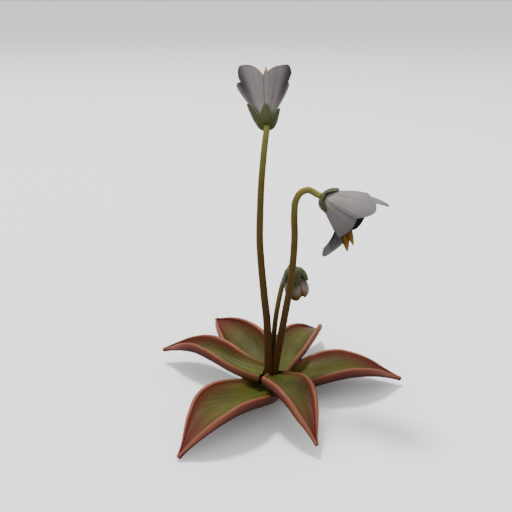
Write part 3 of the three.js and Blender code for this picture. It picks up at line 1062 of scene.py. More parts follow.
@dataclass(frozen=True)
class Leaf:
    """One leaf's own sizes: where its tip lies, how its spine bends and how wide it is.

    widths and walls are the shares of the width and of the wall's height that its left and right
    halves have.
    """

    name: str
    azimuth: float
    reach: float
    tip_height: float
    rise: float
    droop: float
    turn: float
    swing: float
    half_width: float
    widest: float
    root_width: float
    bank: Pair
    root_radius: float = 3.4
    root_height: float = 8.0
    root: Point | None = None
    root_depth: float = 0.8
    root_wall: float = 1.5
    widths: Pair = (1, 1)
    walls: Pair = (1, 1)

    def spine(self, pulls: Pair) -> np.ndarray:
        """The handles of the spine's cubic curve.

        Args:
            pulls: The lengths of the handles at root and tip, as shares of the chord.

        Returns:
            The four handles, one a row.
        """
        root = heading(self.azimuth + self.turn, 0) * self.root_radius + UP * self.root_height
        if self.root:
            root = np.array(self.root)
        tip = heading(self.azimuth, 0) * self.reach + UP * self.tip_height
        chord = float(np.linalg.norm(tip - root))
        leave = heading(self.azimuth + self.turn, self.rise) * pulls[0] * chord
        arrive = heading(self.azimuth - self.swing, -self.droop) * pulls[1] * chord
        return np.stack([root, root + leave, tip - arrive, tip])


@dataclass
class Rosette:
    """The six leaves: fleshy trays whose margins roll over in beads.

    Sizes named beads are multiples of the bead's radius.
    """

    floor: float = 1.0
    bulge: float = 0.35
    keel: float = 0.5
    groove: float = 0.35
    groove_width: float = 0.13
    bead: float = 0.95
    tip_bead: float = 0.42
    bead_out_beads: float = 0.9
    wall_out_beads: float = 1.3
    corner_out_beads: float = 0.2
    channel_drop_beads: float = 0.55
    wall_drop_beads: float = 1.6
    wall_drop_share: float = 0.4
    channel_curve: float = 3.4
    corner_lift: float = 0.5
    corner_curve: float = 6
    full_relief_width: float = 3.0
    narrowest: float = 0.05
    wall_middle: float = 3.8
    wall_tip: float = 0.4
    wall_highest: float = 0.5
    swell_curve: float = 1.5
    tip_roundness: float = 1.22
    tip_spacing: float = 1.15
    tip_angles: tuple[float, ...] = (25, 50, 70, 84)
    tip_length: float = 0.6
    shallow_along: Pair = (0, 0.4)
    small_bead_along: Pair = (0.75, 1)
    wave_counts: tuple[int, ...] = (3, 5, 8)
    wave_height: float = 0.22
    waves_start: Pair = (0.1, 0.4)
    waves_end: Pair = (0.8, 1)
    gland_girth: float = 0.9
    gland_start: float = 0.12
    gland_density: float = 0.4
    gland_size: float = 0.11
    pulls: Pair = (0.4, 0.43)
    stations: int = 84
    leaves: tuple[Leaf, ...] = (
        Leaf("leaf_1", azimuth=-71, reach=46.2, tip_height=4.8, rise=17.4, droop=36, turn=-11.8,
             swing=-3.4, half_width=8.1, widest=0.33, root_width=0.36, bank=(6, -23),
             root=(1.9, -2, 8.9), root_depth=3.2, root_wall=0.4, widths=(0.84, 0.98),
             walls=(0.89, 0.74)),
        Leaf("leaf_2", azimuth=151.8, reach=53, tip_height=6, rise=5.9, droop=20.2, turn=13.6,
             swing=-22.9, half_width=7.2, widest=0.64, root_width=0.82, bank=(0, 10),
             widths=(0.63, 0.94), walls=(1.08, 1.04)),
        Leaf("leaf_3", azimuth=62.9, reach=51.2, tip_height=5.5, rise=12.2, droop=36, turn=-1,
             swing=-1.6, half_width=7.6, widest=0.44, root_width=0.6, bank=(9.5, -11),
             widths=(0.86, 0.87), walls=(0.72, 0.41)),
        Leaf("leaf_4", azimuth=5.5, reach=54, tip_height=3, rise=14, droop=23.5, turn=1,
             swing=2.5, half_width=10.5, widest=0.45, root_width=0.6, bank=(0, -13),
             root_radius=4, root_height=3.2),
        Leaf("leaf_5", azimuth=114.1, reach=61.9, tip_height=5.8, rise=-10, droop=15.5,
             turn=-7.2, swing=1.6, half_width=9.8, widest=0.39, root_width=0.58,
             bank=(-9.4, -8.4), root_radius=4, root_height=3.2, widths=(0.97, 0.76),
             walls=(1.07, 0.96)),
        Leaf("leaf_6", azimuth=-125.5, reach=56.7, tip_height=1.4, rise=15.5, droop=35, turn=5.5,
             swing=5.5, half_width=11.5, widest=0.42, root_width=0.52, bank=(-8, 26),
             root_radius=4, root_height=3.2),
    )
    # round half the section: shares of the floor, angles on the bead and shares of the underside,
    # then how far round each of their points lies and the steps between one and the next
    floor_shares: tuple[float, ...] = (0, 0.2, 0.55, 0.85)
    bead_angles: tuple[float, ...] = (200, 140, 85, 30, -25)
    under_shares: tuple[float, ...] = (1, 0.6, 0)
    girths: tuple[float, ...] = (0, 0.2, 0.55, 0.85, 1, 1.1, 1.2, 1.3, 1.4, 1.6, 1.75, 1.88, 2)
    steps: tuple[int, ...] = (3, 5, 5, 4, 3, 3, 3, 3, 3, 4, 4, 4)

    def half_width(self, leaf: Leaf, along: np.ndarray) -> np.ndarray:
        """Half the blade's width.

        Args:
            leaf: The leaf.
            along: Shares of its length.

        Returns:
            The half width there, in millimetres.
        """
        swell = np.sin(np.minimum(along / leaf.widest, 1) * math.pi / 2) ** self.swell_curve
        narrowing = np.maximum(along - leaf.widest, 0) / (1 - leaf.widest)
        to_tip = np.maximum(np.cos(narrowing * math.pi / 2), 0) ** self.tip_roundness
        return leaf.half_width * lerp(leaf.root_width, 1, swell) * to_tip

    def wall(self, leaf: Leaf, along: np.ndarray) -> np.ndarray:
        """Height of the margin over the midrib.

        Args:
            leaf: The leaf.
            along: Shares of its length.

        Returns:
            The height there, in millimetres.
        """
        top = self.wall_highest
        return np.where(along < top, lerp(leaf.root_wall, self.wall_middle, smooth(along, 0, top)),
                        lerp(self.wall_middle, self.wall_tip, smooth(along, top, 1)))

    def section(self, leaf: Leaf, along: np.ndarray, sway: np.ndarray) -> np.ndarray:
        """The cross-sections, as stations, points and [sideways, up].

        Args:
            leaf: The leaf.
            along: Where the stations lie, as shares of the length.
            sway: How far the margin lies above or below its rule there, in millimetres.

        Returns:
            The closed sections' points.
        """
        left, right = (self.half_section(leaf, along, sway, width, wall)
                       for width, wall in zip(leaf.widths, leaf.walls))
        middle = (left[:, [0, -1]] + right[:, [0, -1]]) / 2
        mirrored = left[:, -2:0:-1] * np.array([-1, 1])
        return np.concatenate([middle[:, :1], right[:, 1:-1], middle[:, 1:], mirrored], axis=1)

    def half_section(self, leaf: Leaf, along: np.ndarray, sway: np.ndarray, width_share: float,
                     wall_share: float) -> np.ndarray:
        """One half of the cross-sections, from the midrib round to the keel.

        Args:
            leaf: The leaf.
            along: Where the stations lie, as shares of the length.
            sway: How far the margin lies above or below its rule there, in millimetres.
            width_share: The share of the leaf's width that this half has.
            wall_share: The share of its wall's height.

        Returns:
            The points, as stations, points and [sideways, up].
        """
        half = self.half_width(leaf, along)[:, None] * width_share
        wall = (self.wall(leaf, along) * wall_share + sway)[:, None]
        depth = self.floor + leaf.root_depth * (1 - smooth(along, *self.shallow_along))[:, None]
        thinning = smooth(along, *self.small_bead_along)
        bead = self.bead * lerp(1, self.tip_bead, thinning)[:, None]
        slim = np.minimum(half / self.full_relief_width, 1)
        width = np.maximum(half, self.narrowest)
        lift = wall - self.channel_drop_beads * bead
        bulge = self.bulge * slim

        shares = np.array(self.floor_shares)
        groove = self.groove * slim * np.exp(-((shares / self.groove_width) ** 2))
        angles = np.radians(self.bead_angles)
        under = np.array(self.under_shares)
        corner = (under == 1) * (self.corner_out_beads * bead + bulge)
        keel = self.keel * slim * (1 - under) ** 2
        side = np.concatenate([
            shares * width,
            width + self.bead_out_beads * bead + bead * np.cos(angles),
            width + self.wall_out_beads * bead + bulge,
            under * width + corner], axis=1)
        high = np.concatenate([
            lift * shares ** self.channel_curve - groove,
            wall + bead * np.sin(angles),
            np.minimum(wall - self.wall_drop_beads * bead, self.wall_drop_share * wall),
            lift * self.corner_lift * under ** self.corner_curve - depth - keel], axis=1)
        return smooth_through(np.stack([side, high], axis=2), self.steps)

    def surface(self, leaf: Leaf, seed: int) -> Surface:
        """The leaf's closed surface.

        Args:
            leaf: The leaf.
            seed: Seeds the slow waves of its margins.

        Returns:
            The surface, with the values along, across, girth and dew.
        """
        draw = np.random.default_rng(seed)
        along = 1 - (1 - np.linspace(0, 1, self.stations)) ** self.tip_spacing
        centre, ahead = cubic_by_length(leaf.spine(self.pulls), along)
        level = unit(np.cross(UP, ahead))
        bank = np.radians(lerp(*leaf.bank, along))[:, None]
        sideways = level * np.cos(bank) + np.cross(ahead, level) * np.sin(bank)
        up = np.cross(ahead, sideways)
        waves = sum(np.sin(2 * math.pi * (count * along + draw.random())) / count
                    for count in self.wave_counts)
        sway = self.wave_height * waves * smooth(along, *self.waves_start)
        section = self.section(leaf, along, sway * (1 - smooth(along, *self.waves_end)))
        wide, high = section[..., :1], section[..., 1:]
        rings = centre[:, None] + sideways[:, None] * wide + up[:, None] * high

        walked = np.concatenate([[0], np.cumsum(self.steps)])
        girth = np.interp(np.arange(walked[-1] + 1), walked, self.girths)
        across = np.minimum(girth, 1)
        rings, along = self._rounded(rings, ahead[-1], along)
        rows, columns = rings.shape[:2]
        values = {
            "along": np.repeat(along[:, None], columns, axis=1),
            "girth": np.tile(np.concatenate([girth, girth[-2:0:-1]]), (rows, 1)),
            "across": np.tile(np.concatenate([across, -across[-2:0:-1]]), (rows, 1))}
        in_channel = values["girth"] < self.gland_girth
        values["dew"] = (in_channel & (values["along"] > self.gland_start)).astype(float)
        return tube(rings, values)

    def _rounded(self, rings: np.ndarray, ahead: np.ndarray,
                 along: np.ndarray) -> tuple[np.ndarray, np.ndarray]:
        """Adds shrinking rings that round off the tip.

        Args:
            rings: The rings, as rows, points and coordinates.
            ahead: The unit vector past the tip.
            along: The rings' shares of the length.

        Returns:
            The rings and the shares, with the tip's.
        """
        last = rings[-1]
        middle = last.mean(axis=0)
        cap = [middle + (last - middle) * math.cos(angle)
               + ahead * self.tip_length * math.sin(angle)
               for angle in np.radians(self.tip_angles)]
        return np.concatenate([rings, np.stack(cap)]), np.concatenate([along, np.ones(len(cap))])

    def build(self, flesh: bpy.types.Material, dew: bpy.types.Material, scatter: Scatter) -> None:
        """Makes the leaves and the glands on them.

        Args:
            flesh: The leaves' material.
            dew: The glands' material.
            scatter: Grows the glands.
        """
        for number, leaf in enumerate(self.leaves, 1):
            blade = object_from(self.surface(leaf, number), f"{leaf.name}_blade", flesh)
            glands = scatter.grow(blade, f"{leaf.name}_glands", dew, density=self.gland_density,
                                  size=self.gland_size, seed=number)
            settle(blade, "leaf", leaf.name)
            settle(glands, "leaf")


# ---------------------------------------------------------------- flowers


@dataclass(frozen=True)
class Blade:
    """A petal's or sepal's own sizes.

    at is its azimuth. Its profile is in [radius, height over the foot], and lean and tip are the
    last two handles of its curve. over says how far out each edge lies, left and right, in laps,
    and crest how far along its profile the blade reaches at six even places from edge to edge. By
    the tip, flare and lift are how far out and how high the two edges stand, and narrow is the
    share of its spread that the blade has lost. The last three paint shade: how dark its two outer
    corners are painted, where they turn from the light, how much painted shade its outer face
    takes, and how much of that painted shade its tip is spared.
    """

    at: float
    lean: Pair
    tip: Pair
    over: Pair = (0, 0)
    spread: float | None = None
    crest: tuple[float, ...] | None = None
    flare: Pair = (0, 0)
    lift: Pair = (0, 0)
    narrow: float = 0.0
    smudge: Pair = (0, 0)
    shaded_face: float = 0.0
    unshaded_tip: float = 0.0


@dataclass(frozen=True)
class BladeForm:
    """What blades of one kind share: their thickness, outline, creases and ruffles."""

    thickness: float
    edge: float
    spread: float
    shoulder: float
    roundness: float
    lap: float
    ruffle: float
    crease: float
    across: int
    along: int
    ruffle_count: float = 7.5
    crease_width: float = 0.16
    crease_fading: float = 0.6
    lap_along: Pair = (0, 0.4)
    crease_along: Pair = (0.15, 0.5)
    flare_along: Pair = (0.35, 1)
    narrow_along: Pair = (0.4, 1)
    ruffle_along: Pair = (0.45, 1)
    rim_across: Pair = (0.75, 1)
    rim_along: Pair = (0.88, 1)
    # Where painted shade darkens the outer corners, across and along.
    corner_across: Pair = (0.1, 0.85)
    corner_along: Pair = (0.25, 0.8)
    tip_along: Pair = (0.88, 0.94)
    hairy_to: float = 0.8


PETAL_FORM = BladeForm(
    thickness=0.6, edge=0.26, spread=38, shoulder=0.17, roundness=2.8, lap=0.5, ruffle=0.1,
    crease=0.16, across=30, along=36)
SEPAL_FORM = BladeForm(
    thickness=0.58, edge=0.3, spread=35.5, shoulder=0.64, roundness=1.5, lap=0.0, ruffle=0.05,
    crease=-0.1, across=16, along=18)


@dataclass(frozen=True)
class Whorl:
    """Blades of one form on a turned base, round the flower's own +Z.

    root holds the first two handles of every blade's profile, and base is the profile of the base.
    Their inner faces take painted shade, by the share that the whorl gives.
    """

    form: BladeForm
    root: tuple[Pair, Pair]
    blades: tuple[Blade, ...]
    base: tuple[Pair, ...]
    shaded_inside: float = 1.0
    base_sides: int = 40
    base_along: float = 0.3
    base_radii: Pair = (0.9, 2.2)

    def middle(self, blade: Blade, across: np.ndarray, along: np.ndarray) -> np.ndarray:
        """Points half-way through a blade's thickness.

        Args:
            blade: The blade's own sizes.
            across: Places across the blade, -1 to 1.
            along: Places along it, 0 to 1.

        Returns:
            The points, with the coordinates along a new last axis.
        """
        form = self.form
        off = np.abs(across)
        crest = 1 - form.shoulder * off ** form.roundness
        if blade.crest:
            crest = smooth_at(blade.crest, (across + 1) / 2)
        reached = along * crest
        handles = np.array([*self.root, blade.lean, blade.tip], dtype=float)
        profile = cubic(handles, reached)

        over = np.where(across < 0, *blade.over)
        late = smooth(along, *form.ruffle_along)
        ruffle = form.ruffle * np.sin(across * form.ruffle_count + blade.at) * late * off
        valley = form.crease * np.exp(-((across / form.crease_width) ** 2))
        crease = valley * smooth(along, *form.crease_along) * (1 - form.crease_fading * late)
        flare, lift = (np.where(across < 0, *pair) * smooth(reached, *form.flare_along)
                       for pair in (blade.flare, blade.lift))
        lap = form.lap * off * over * smooth(along, *form.lap_along)
        radius = profile[..., 0] + lap + flare * off ** 2 + ruffle - crease
        height = profile[..., 1] + lift * off
        spread = form.spread if blade.spread is None else blade.spread
        kept = 1 - blade.narrow * smooth(reached, *form.narrow_along)
        angle = np.radians(blade.at + spread * across * kept)
        return np.stack([radius * np.cos(angle), radius * np.sin(angle), height], axis=-1)

    def blade(self, blade: Blade) -> Surface:
        """One petal or sepal.

        Args:
            blade: The blade's own sizes.

        Returns:
            The closed surface, with the values along, across, inner, dew and smudge.
        """
        form = self.form
        across, along = np.meshgrid(
            np.linspace(-1, 1, form.across + 1), np.linspace(0, 1, form.along + 1))
        middle = self.middle(blade, across, along)
        sideways = (self.middle(blade, across + NUDGE, along)
                    - self.middle(blade, across - NUDGE, along))
        onward = (self.middle(blade, across, along + NUDGE)
                  - self.middle(blade, across, along - NUDGE))
        normal = unit(np.cross(sideways, onward))
        off = np.abs(across)
        rim = np.maximum(smooth(off, *form.rim_across), smooth(along, *form.rim_along))
        half = lerp(form.thickness, form.edge, rim)[..., None] / 2
        # Where painted shade darkens the outer corners.
        corner = smooth(off, *form.corner_across) * smooth(along, *form.corner_along)
        skin = sheet(middle + normal * half, middle - normal * half, {
            "along": along, "across": across, "dew": (along < form.hairy_to).astype(float),
            "smudge": corner * np.where(across < 0, *blade.smudge)})
        # Painted shade: inner faces, and an outer face that is shaded, go dark; a spared tip stays
        # light.
        pale = blade.unshaded_tip * smooth(skin.values["along"], *form.tip_along)
        dark = np.maximum(skin.values["inner"] * self.shaded_inside, blade.shaded_face)
        skin.values["inner"] = dark * (1 - pale)
        return skin

    def surface(self) -> Surface:
        """Makes the base and the blades.

        Returns:
            One surface that holds them all.
        """
        plain = {name: 0.0 for name in ("along", "across", "dew", "inner", "smudge")}
        bottom = turned(self.base, self.base_sides, plain)
        out = np.linalg.norm(bottom.points[:, :2], axis=1)
        bottom.values["along"] = self.base_along * smooth(out, *self.base_radii)
        return joined([bottom] + [self.blade(blade) for blade in self.blades])


@dataclass(frozen=True)
class Stamen:
    """A stamen: where it bends, where its tip is, how thick it swells and how thick it ends.

    pulls are the heights of its two bends, as shares of its tip's height. flattening is how much of
    its thickness two of its sides lose.
    """

    bend: Pair
    tip: Point
    thickest: float
    end: float = 0.14
    foot: float = 2.9
    pulls: Pair = (0.35, 0.62)
    thinnest: float = 0.6
    swell_along: Pair = (0.3, 0.62)
    point_start: float = 0.75
    point_curve: float = 1.6
    flattening: float = 0.12
    flat_along: Pair = (0.45, 0.8)
    aside: Point = (0.3, 1.0, 0.1)
    rings: int = 34
    sides: int = 18

    def surface(self) -> Surface:
        """Makes the stamen round the flower's own +Z.

        Returns:
            The closed surface, with the value along.
        """
        height = self.tip[2]
        handles = np.array([
            (0, 0, self.foot), (0, 0, self.foot + height * self.pulls[0]),
            (*self.bend, height * self.pulls[1]), self.tip], dtype=float)
        along = np.linspace(0, 1, self.rings)
        centre, ahead = cubic_by_length(handles, along)
        sideways = unit(np.cross(ahead, np.array(self.aside)))
        other = np.cross(ahead, sideways)
        swell = lerp(self.thinnest, self.thickest, smooth(along, *self.swell_along))
        ended = np.clip((along - self.point_start) / (1 - self.point_start), 0, 1)
        point = lerp(self.thickest, self.end, ended ** self.point_curve)
        radius = np.where(along < self.point_start, swell, point)[:, None, None]
        turns = circle(self.sides)[None, :, None]
        flat = self.flattening * np.cos(2 * turns) * smooth(along, *self.flat_along)[:, None, None]
        across = sideways[:, None] * np.cos(turns) + other[:, None] * np.sin(turns)
        return tube(centre[:, None] + radius * (1 - flat) * across,
                    {"along": np.repeat(along[:, None], self.sides, axis=1)})


@dataclass(frozen=True)
class Flower:
    """A bloom or a bud: petals, sepals and stamens round the flower's axis."""

    name: str
    foot: Point
    axis: Point
    side: Point
    petals: Whorl
    sepals: Whorl
    stamens: tuple[Stamen, ...] = ()
    petals_node: str = "corolla"
    hair_density: float = 1.2
    hair_length: float = 0.3

    def matrix(self) -> Matrix:
        """The flower's place, with +Z along its axis and +X towards its side.

        Returns:
            The matrix from the flower's own millimetres to the frame's.
        """
        up = Vector(self.axis).normalized()
        out = Vector(self.side)
        out = (out - up * out.dot(up)).normalized()
        turn = Matrix((out, up.cross(out), up)).transposed()
        return Matrix.Translation(Vector(self.foot)) @ turn.to_4x4()

    def build(self, petal: bpy.types.Material, sepal: bpy.types.Material,
              stamen: bpy.types.Material, scatter: Scatter) -> None:
        """Makes the flower's pieces.

        Args:
            petal: The petals' material.
            sepal: The material of the sepals and their hairs.
            stamen: The stamens' material.
            scatter: Grows the hairs.
        """
        place = self.matrix()
        corolla = object_from(
            self.petals.surface().placed(place), f"{self.name}_petals_skin", petal)
        settle(corolla, "petal", f"{self.name}_{self.petals_node}")
        calyx = object_from(
            self.sepals.surface().placed(place), f"{self.name}_sepals_skin", sepal)
        hairs = scatter.grow(calyx, f"{self.name}_calyx_hairs", sepal, density=self.hair_density,
                             size=self.hair_length, seed=len(self.name))
        settle(calyx, "sepal", f"{self.name}_calyx")
        settle(hairs, "sepal")
        if self.stamens:
            column = joined([each.surface() for each in self.stamens]).placed(place)
            settle(object_from(column, f"{self.name}_stamens_skin", stamen), "stamen",
                   f"{self.name}_stamens")


BLOOM_1 = Flower(
    name="bloom_1", foot=(-2.3, 2, 107.9), axis=(-0.03, 0.766, 0.642), side=(0, -1, 0),
    petals=Whorl(
        PETAL_FORM, root=((1.5, 2.2), (2.4, 6.5)), shaded_inside=0.62,
        blades=(
            # The last pair of each petal is how much painted shade its outer corners take.
            Blade(-37, (6.4, 13.5), (9.7, 23.1), over=(1, -1), spread=39,
                  crest=(0.975, 1.06, 1.03, 0.98, 0.9, 0.785), smudge=(0.95, 0)),
            Blade(38, (6.4, 13.5), (9.7, 23), over=(1, 1), spread=40,
                  crest=(0.77, 0.88, 0.955, 1.01, 1.065, 1.02), smudge=(0, 1)),
            Blade(108, (6.1, 13), (9.8, 21.9), over=(-1, 1),
                  crest=(0.86, 0.95, 0.975, 0.97, 0.93, 0.84), smudge=(1, 0.2)),
            Blade(180, (6, 13), (9.6, 20.6), over=(-1, -1)),
            Blade(252, (6.2, 13), (11, 22.6), over=(1, -1),
                  crest=(0.84, 0.94, 0.98, 0.985, 0.955, 0.88), smudge=(0.25, 1))),
        base=((0, 1.5), (1.5, 1.55), (2, 3), (2.6, 5.1), (2, 5.3), (1, 2.6), (0, 2.6))),
    sepals=Whorl(
        SEPAL_FORM, root=((2.5, 0.5), (3.9, 1.2)), shaded_inside=0.62,
        blades=(
            Blade(0, (4, 4.4), (5.3, 6.5)), Blade(72, (4, 4.6), (5.4, 6.9)),
            Blade(144, (4, 4.6), (5.4, 7.2)), Blade(216, (4, 4.6), (5.4, 7.2)),
            Blade(288, (4.4, 5), (7.1, 9.5))),
        base=((0, 0), (1.8, 0), (2.9, 0.4), (3.8, 2.6), (3.1, 2.8), (2, 1.2), (0, 1.2))),
    stamens=(
        Stamen((0, 0.3), (0, 0.9, 29.6), thickest=1.05, end=0.2),
        Stamen((1.2, 0.6), (2, 1.6, 15), thickest=0.7),
        Stamen((-1, -0.8), (-1.8, -1.8, 14), thickest=0.7)))
BLOOM_2 = Flower(
    name="bloom_2", foot=(17.6, -2, 83.2), axis=(0.867, -0.265, -0.422), side=(0, 0, 1),
    petals=Whorl(
        PETAL_FORM, root=((1.6, 1.9), (4, 3.2)),
        blades=(
            Blade(340, (9.4, 12), (9.3, 24.7), over=(-1, -1),
                  crest=(0.62, 0.76, 0.87, 0.93, 0.965, 0.8)),
            Blade(40, (9, 10.6), (10, 19.9), over=(1, 0.6),
                  crest=(0.8, 0.89, 0.985, 1.01, 0.95, 0.83)),
            Blade(112, (7.4, 9.4), (8, 16.6), over=(-0.6, 1), spread=42,
                  crest=(0.955, 0.965, 0.965, 0.945, 0.9, 0.86), flare=(0, 2.4)),
            # The lower petal's face is painted in shade, all but its lit tip.
            Blade(180, (5.7, 17.2), (19.4, 12.4), over=(-1, -1), spread=34,
                  crest=(0.93, 0.985, 1.01, 1.01, 0.99, 0.95), lift=(-2.9, 2.5), narrow=0.25,
                  shaded_face=0.95, unshaded_tip=0.9),
            Blade(252, (9, 10), (9.6, 17), over=(1, 1), spread=40,
                  crest=(0.93, 1.02, 1.045, 1.04, 1, 0.88))),
        base=((0, 1.5), (1.6, 1.5), (2.3, 2.3), (3.2, 3.7), (2.7, 4.2), (2, 3), (1.3, 2.6),
              (0, 2.6))),
    sepals=Whorl(
        SEPAL_FORM, root=((1.5, 0.6), (3.4, 0.8)),
        blades=(
            Blade(8, (4.6, 2.4), (6, 5)), Blade(120, (4.3, 2.6), (5.3, 4.7), spread=34),
            Blade(195, (4, 2.4), (5.2, 4.5)), Blade(255, (4.6, 2.6), (6.2, 4.8)),
            Blade(312, (4.7, 2.6), (6.4, 4.8))),
        base=((0, 0), (1.35, 0), (2.4, 0.35), (3.6, 1.35), (3.1, 1.8), (2.2, 1.5), (1.6, 1.2),
              (0, 1.2))),
    stamens=(
        Stamen((-4, 0.3), (-13.4, 0.8, 18.3), thickest=1.75, end=0.4),
        Stamen((-3, 1), (-10.1, 1.2, 19.2), thickest=1.4, end=0.3),
        Stamen((-0.8, -0.6), (-3.4, -1.4, 16), thickest=0.7)))
BUD = Flower(
    name="bud", foot=(8.9, 7.2, 51.5), axis=(0.08, -0.1, -0.99), side=(0, -1, 0),
    petals=Whorl(
        replace(PETAL_FORM, lap=0.15), root=((1.6, 1.8), (3.2, 3.2)),
        blades=(
            Blade(4, (6.2, 8.5), (2.4, 12.9), over=(1, 1), spread=42),
            Blade(78, (5.7, 8.5), (2.4, 13.2), over=(-1, 1)),
            Blade(150, (6.1, 8.5), (2.4, 13.4), over=(-1, 1)),
            Blade(222, (6.1, 8.5), (2.8, 12.8), over=(-1, 1)),
            Blade(294, (6.8, 8), (4.3, 11.8), over=(-1, -1))),
        base=((0, 1.5), (1.6, 1.5), (2.6, 3), (3.3, 6), (3.3, 9.4), (2.2, 12), (0, 12.6))),
    sepals=Whorl(
        SEPAL_FORM, root=((2.4, 0.6), (4, 0.7)),
        blades=(
            Blade(-6, (4.8, 3.7), (5.4, 6.4)), Blade(76, (4.4, 3.8), (4.8, 6.2)),
            Blade(148, (4.4, 3.6), (5, 6.4)), Blade(220, (4.8, 4), (5.4, 7.4)),
            Blade(292, (4.9, 3.1), (5.4, 5.2))),
        base=((0, 0), (1.9, 0), (3.2, 0.4), (4.2, 2), (3.5, 2.4), (2, 1.2), (0, 1.2))),
    petals_node="petals")


# ---------------------------------------------------------------- stalks and crown


@dataclass(frozen=True)
class Stalk:
    """A bare flower stalk: points on its centre line, ended on its flower's axis.

    straight is how long its straight end is, and gap how far it stops short of the flower.
    """

    name: str
    flower: Flower
    root_radius: float
    top_radius: float
    straight: float
    line: tuple[Point, ...]
    gap: float = 0.1
    steps: int = 8

    def centre_line(self) -> np.ndarray:
        """The centre line, finely spaced, from the root up.

        Returns:
            The points, one a row.
        """
        foot, axis = np.array(self.flower.foot), unit(np.array(self.flower.axis, dtype=float))
        ends = [foot - axis * (self.gap + self.straight), foot - axis * self.gap]
        points = np.array([*self.line, *ends], dtype=float)
        return smooth_through(points, [self.steps] * (len(points) - 1))

    def curve(self) -> bpy.types.Object:
        """The centre line as a poly curve.

        Returns:
            The curve's object, linked to the scene.
        """
        points = self.centre_line() * MM
        data = bpy.data.curves.new(f"{self.name}_line", "CURVE")
        data.dimensions = "3D"
        spline = data.splines.new("POLY")
        spline.points.add(len(points) - 1)
        spline.points.foreach_set("co", np.column_stack([points, np.ones(len(points))]).ravel())
        return linked(f"{self.name}_line", data)


@dataclass
class Stalks:
    """The three stalks, skinned along their lines by one Geometry Nodes tree."""

    stalks: tuple[Stalk, ...] = (
        Stalk("scape_1", BLOOM_1, root_radius=1.65, top_radius=1.12, straight=1.2, line=(
            (-1.5, -0.7, 2.3), (-1.1, -0.7, 12), (-1.8, -0.6, 32), (-2.9, -0.4, 42.6),
            (-4.1, -0.2, 56), (-4.7, 0, 66), (-4.5, 0.1, 78), (-4.1, 0.1, 88), (-3.4, 0, 97),
            (-2.75, 0, 103.5))),
        Stalk("scape_2", BLOOM_2, root_radius=1.55, top_radius=1.2, straight=1.2, line=(
            (1.35, 0.7, 2.3), (1.8, 0.7, 11.3), (4.9, 0.2, 32), (7.4, -0.5, 49.4),
            (8.4, -1.5, 66), (8.1, -2, 76), (8.5, -2, 81.3), (10.2, -1.8, 84.3),
            (13, -1.2, 85.3))),
        Stalk("scape_3", BUD, root_radius=1.1, top_radius=0.98, straight=0.9, line=(
            (-0.2, 3.1, 2.3), (0.3, 3.1, 10.3), (1.7, 4, 30.4), (2.8, 6, 36.6), (4.2, 9.2, 42.2),
            (5.6, 11.7, 45.6), (6.6, 12.4, 47.7), (7.6, 12, 49.8), (8.35, 10.5, 52),
            (8.65, 8.8, 53.1))),
    )
    sides: int = 20
    hair_density: float = 0.9
    hair_length: float = 0.34
    first_seed: int = 11

    def tree(self) -> bpy.types.NodeTree:
        """Builds the tree that skins a line with a radius that narrows from root to top.

        Returns:
            The tree.
        """
        tree, source, sink = group_tree(
            "stalk_skin", "GeometryNodeTree",
            [("Geometry", GEOMETRY, None), ("Root Radius", FLOAT, MM), ("Top Radius", FLOAT, MM),
             ("Sides", INTEGER, 16), ("Material", MATERIAL, None)],
            [("Geometry", GEOMETRY)])
        given = source.outputs
        factor = tree.add("GeometryNodeSplineParameter").outputs["Factor"]
        radius = tree.add("ShaderNodeMapRange", {
            "Value": factor, "To Min": given["Root Radius"], "To Max": given["Top Radius"]})
        marked = tree.add("GeometryNodeStoreNamedAttribute", {
            "Geometry": given["Geometry"], "Name": "along", "Value": factor},
            data_type="FLOAT", domain="POINT")
        ring = tree.add("GeometryNodeCurvePrimitiveCircle", {
            "Resolution": given["Sides"], "Radius": 1.0})
        skin = tree.add("GeometryNodeCurveToMesh", {
            "Curve": marked.outputs[0], "Profile Curve": ring.outputs["Curve"],
            "Scale": radius.outputs[0], "Fill Caps": True})
        hairy = tree.add("GeometryNodeStoreNamedAttribute", {
            "Geometry": skin.outputs[0], "Name": "dew", "Value": 1.0},
            data_type="FLOAT", domain="POINT")
        smoothed = tree.add("GeometryNodeSetShadeSmooth", {"Geometry": hairy.outputs[0]})
        return tree.deliver(smoothed.outputs[0], given["Material"], sink)

    def build(self, skin: bpy.types.Material, scatter: Scatter) -> None:
        """Makes the stalks and their short hairs.

        Args:
            skin: The material of the stalks and the hairs.
            scatter: Grows the hairs.
        """
        tree = self.tree()
        for seed, stalk in enumerate(self.stalks, self.first_seed):
            line = stalk.curve()
            piece = evaluated(line, tree, {
                "Root Radius": stalk.root_radius * MM, "Top Radius": stalk.top_radius * MM,
                "Sides": self.sides, "Material": skin}, f"{stalk.name}_skin")
            bpy.data.objects.remove(line)
            hairs = scatter.grow(piece, f"{stalk.name}_hairs", skin, density=self.hair_density,
                                 size=self.hair_length, seed=seed)
            settle(piece, "stalk", stalk.name)
            settle(hairs, "stalk")


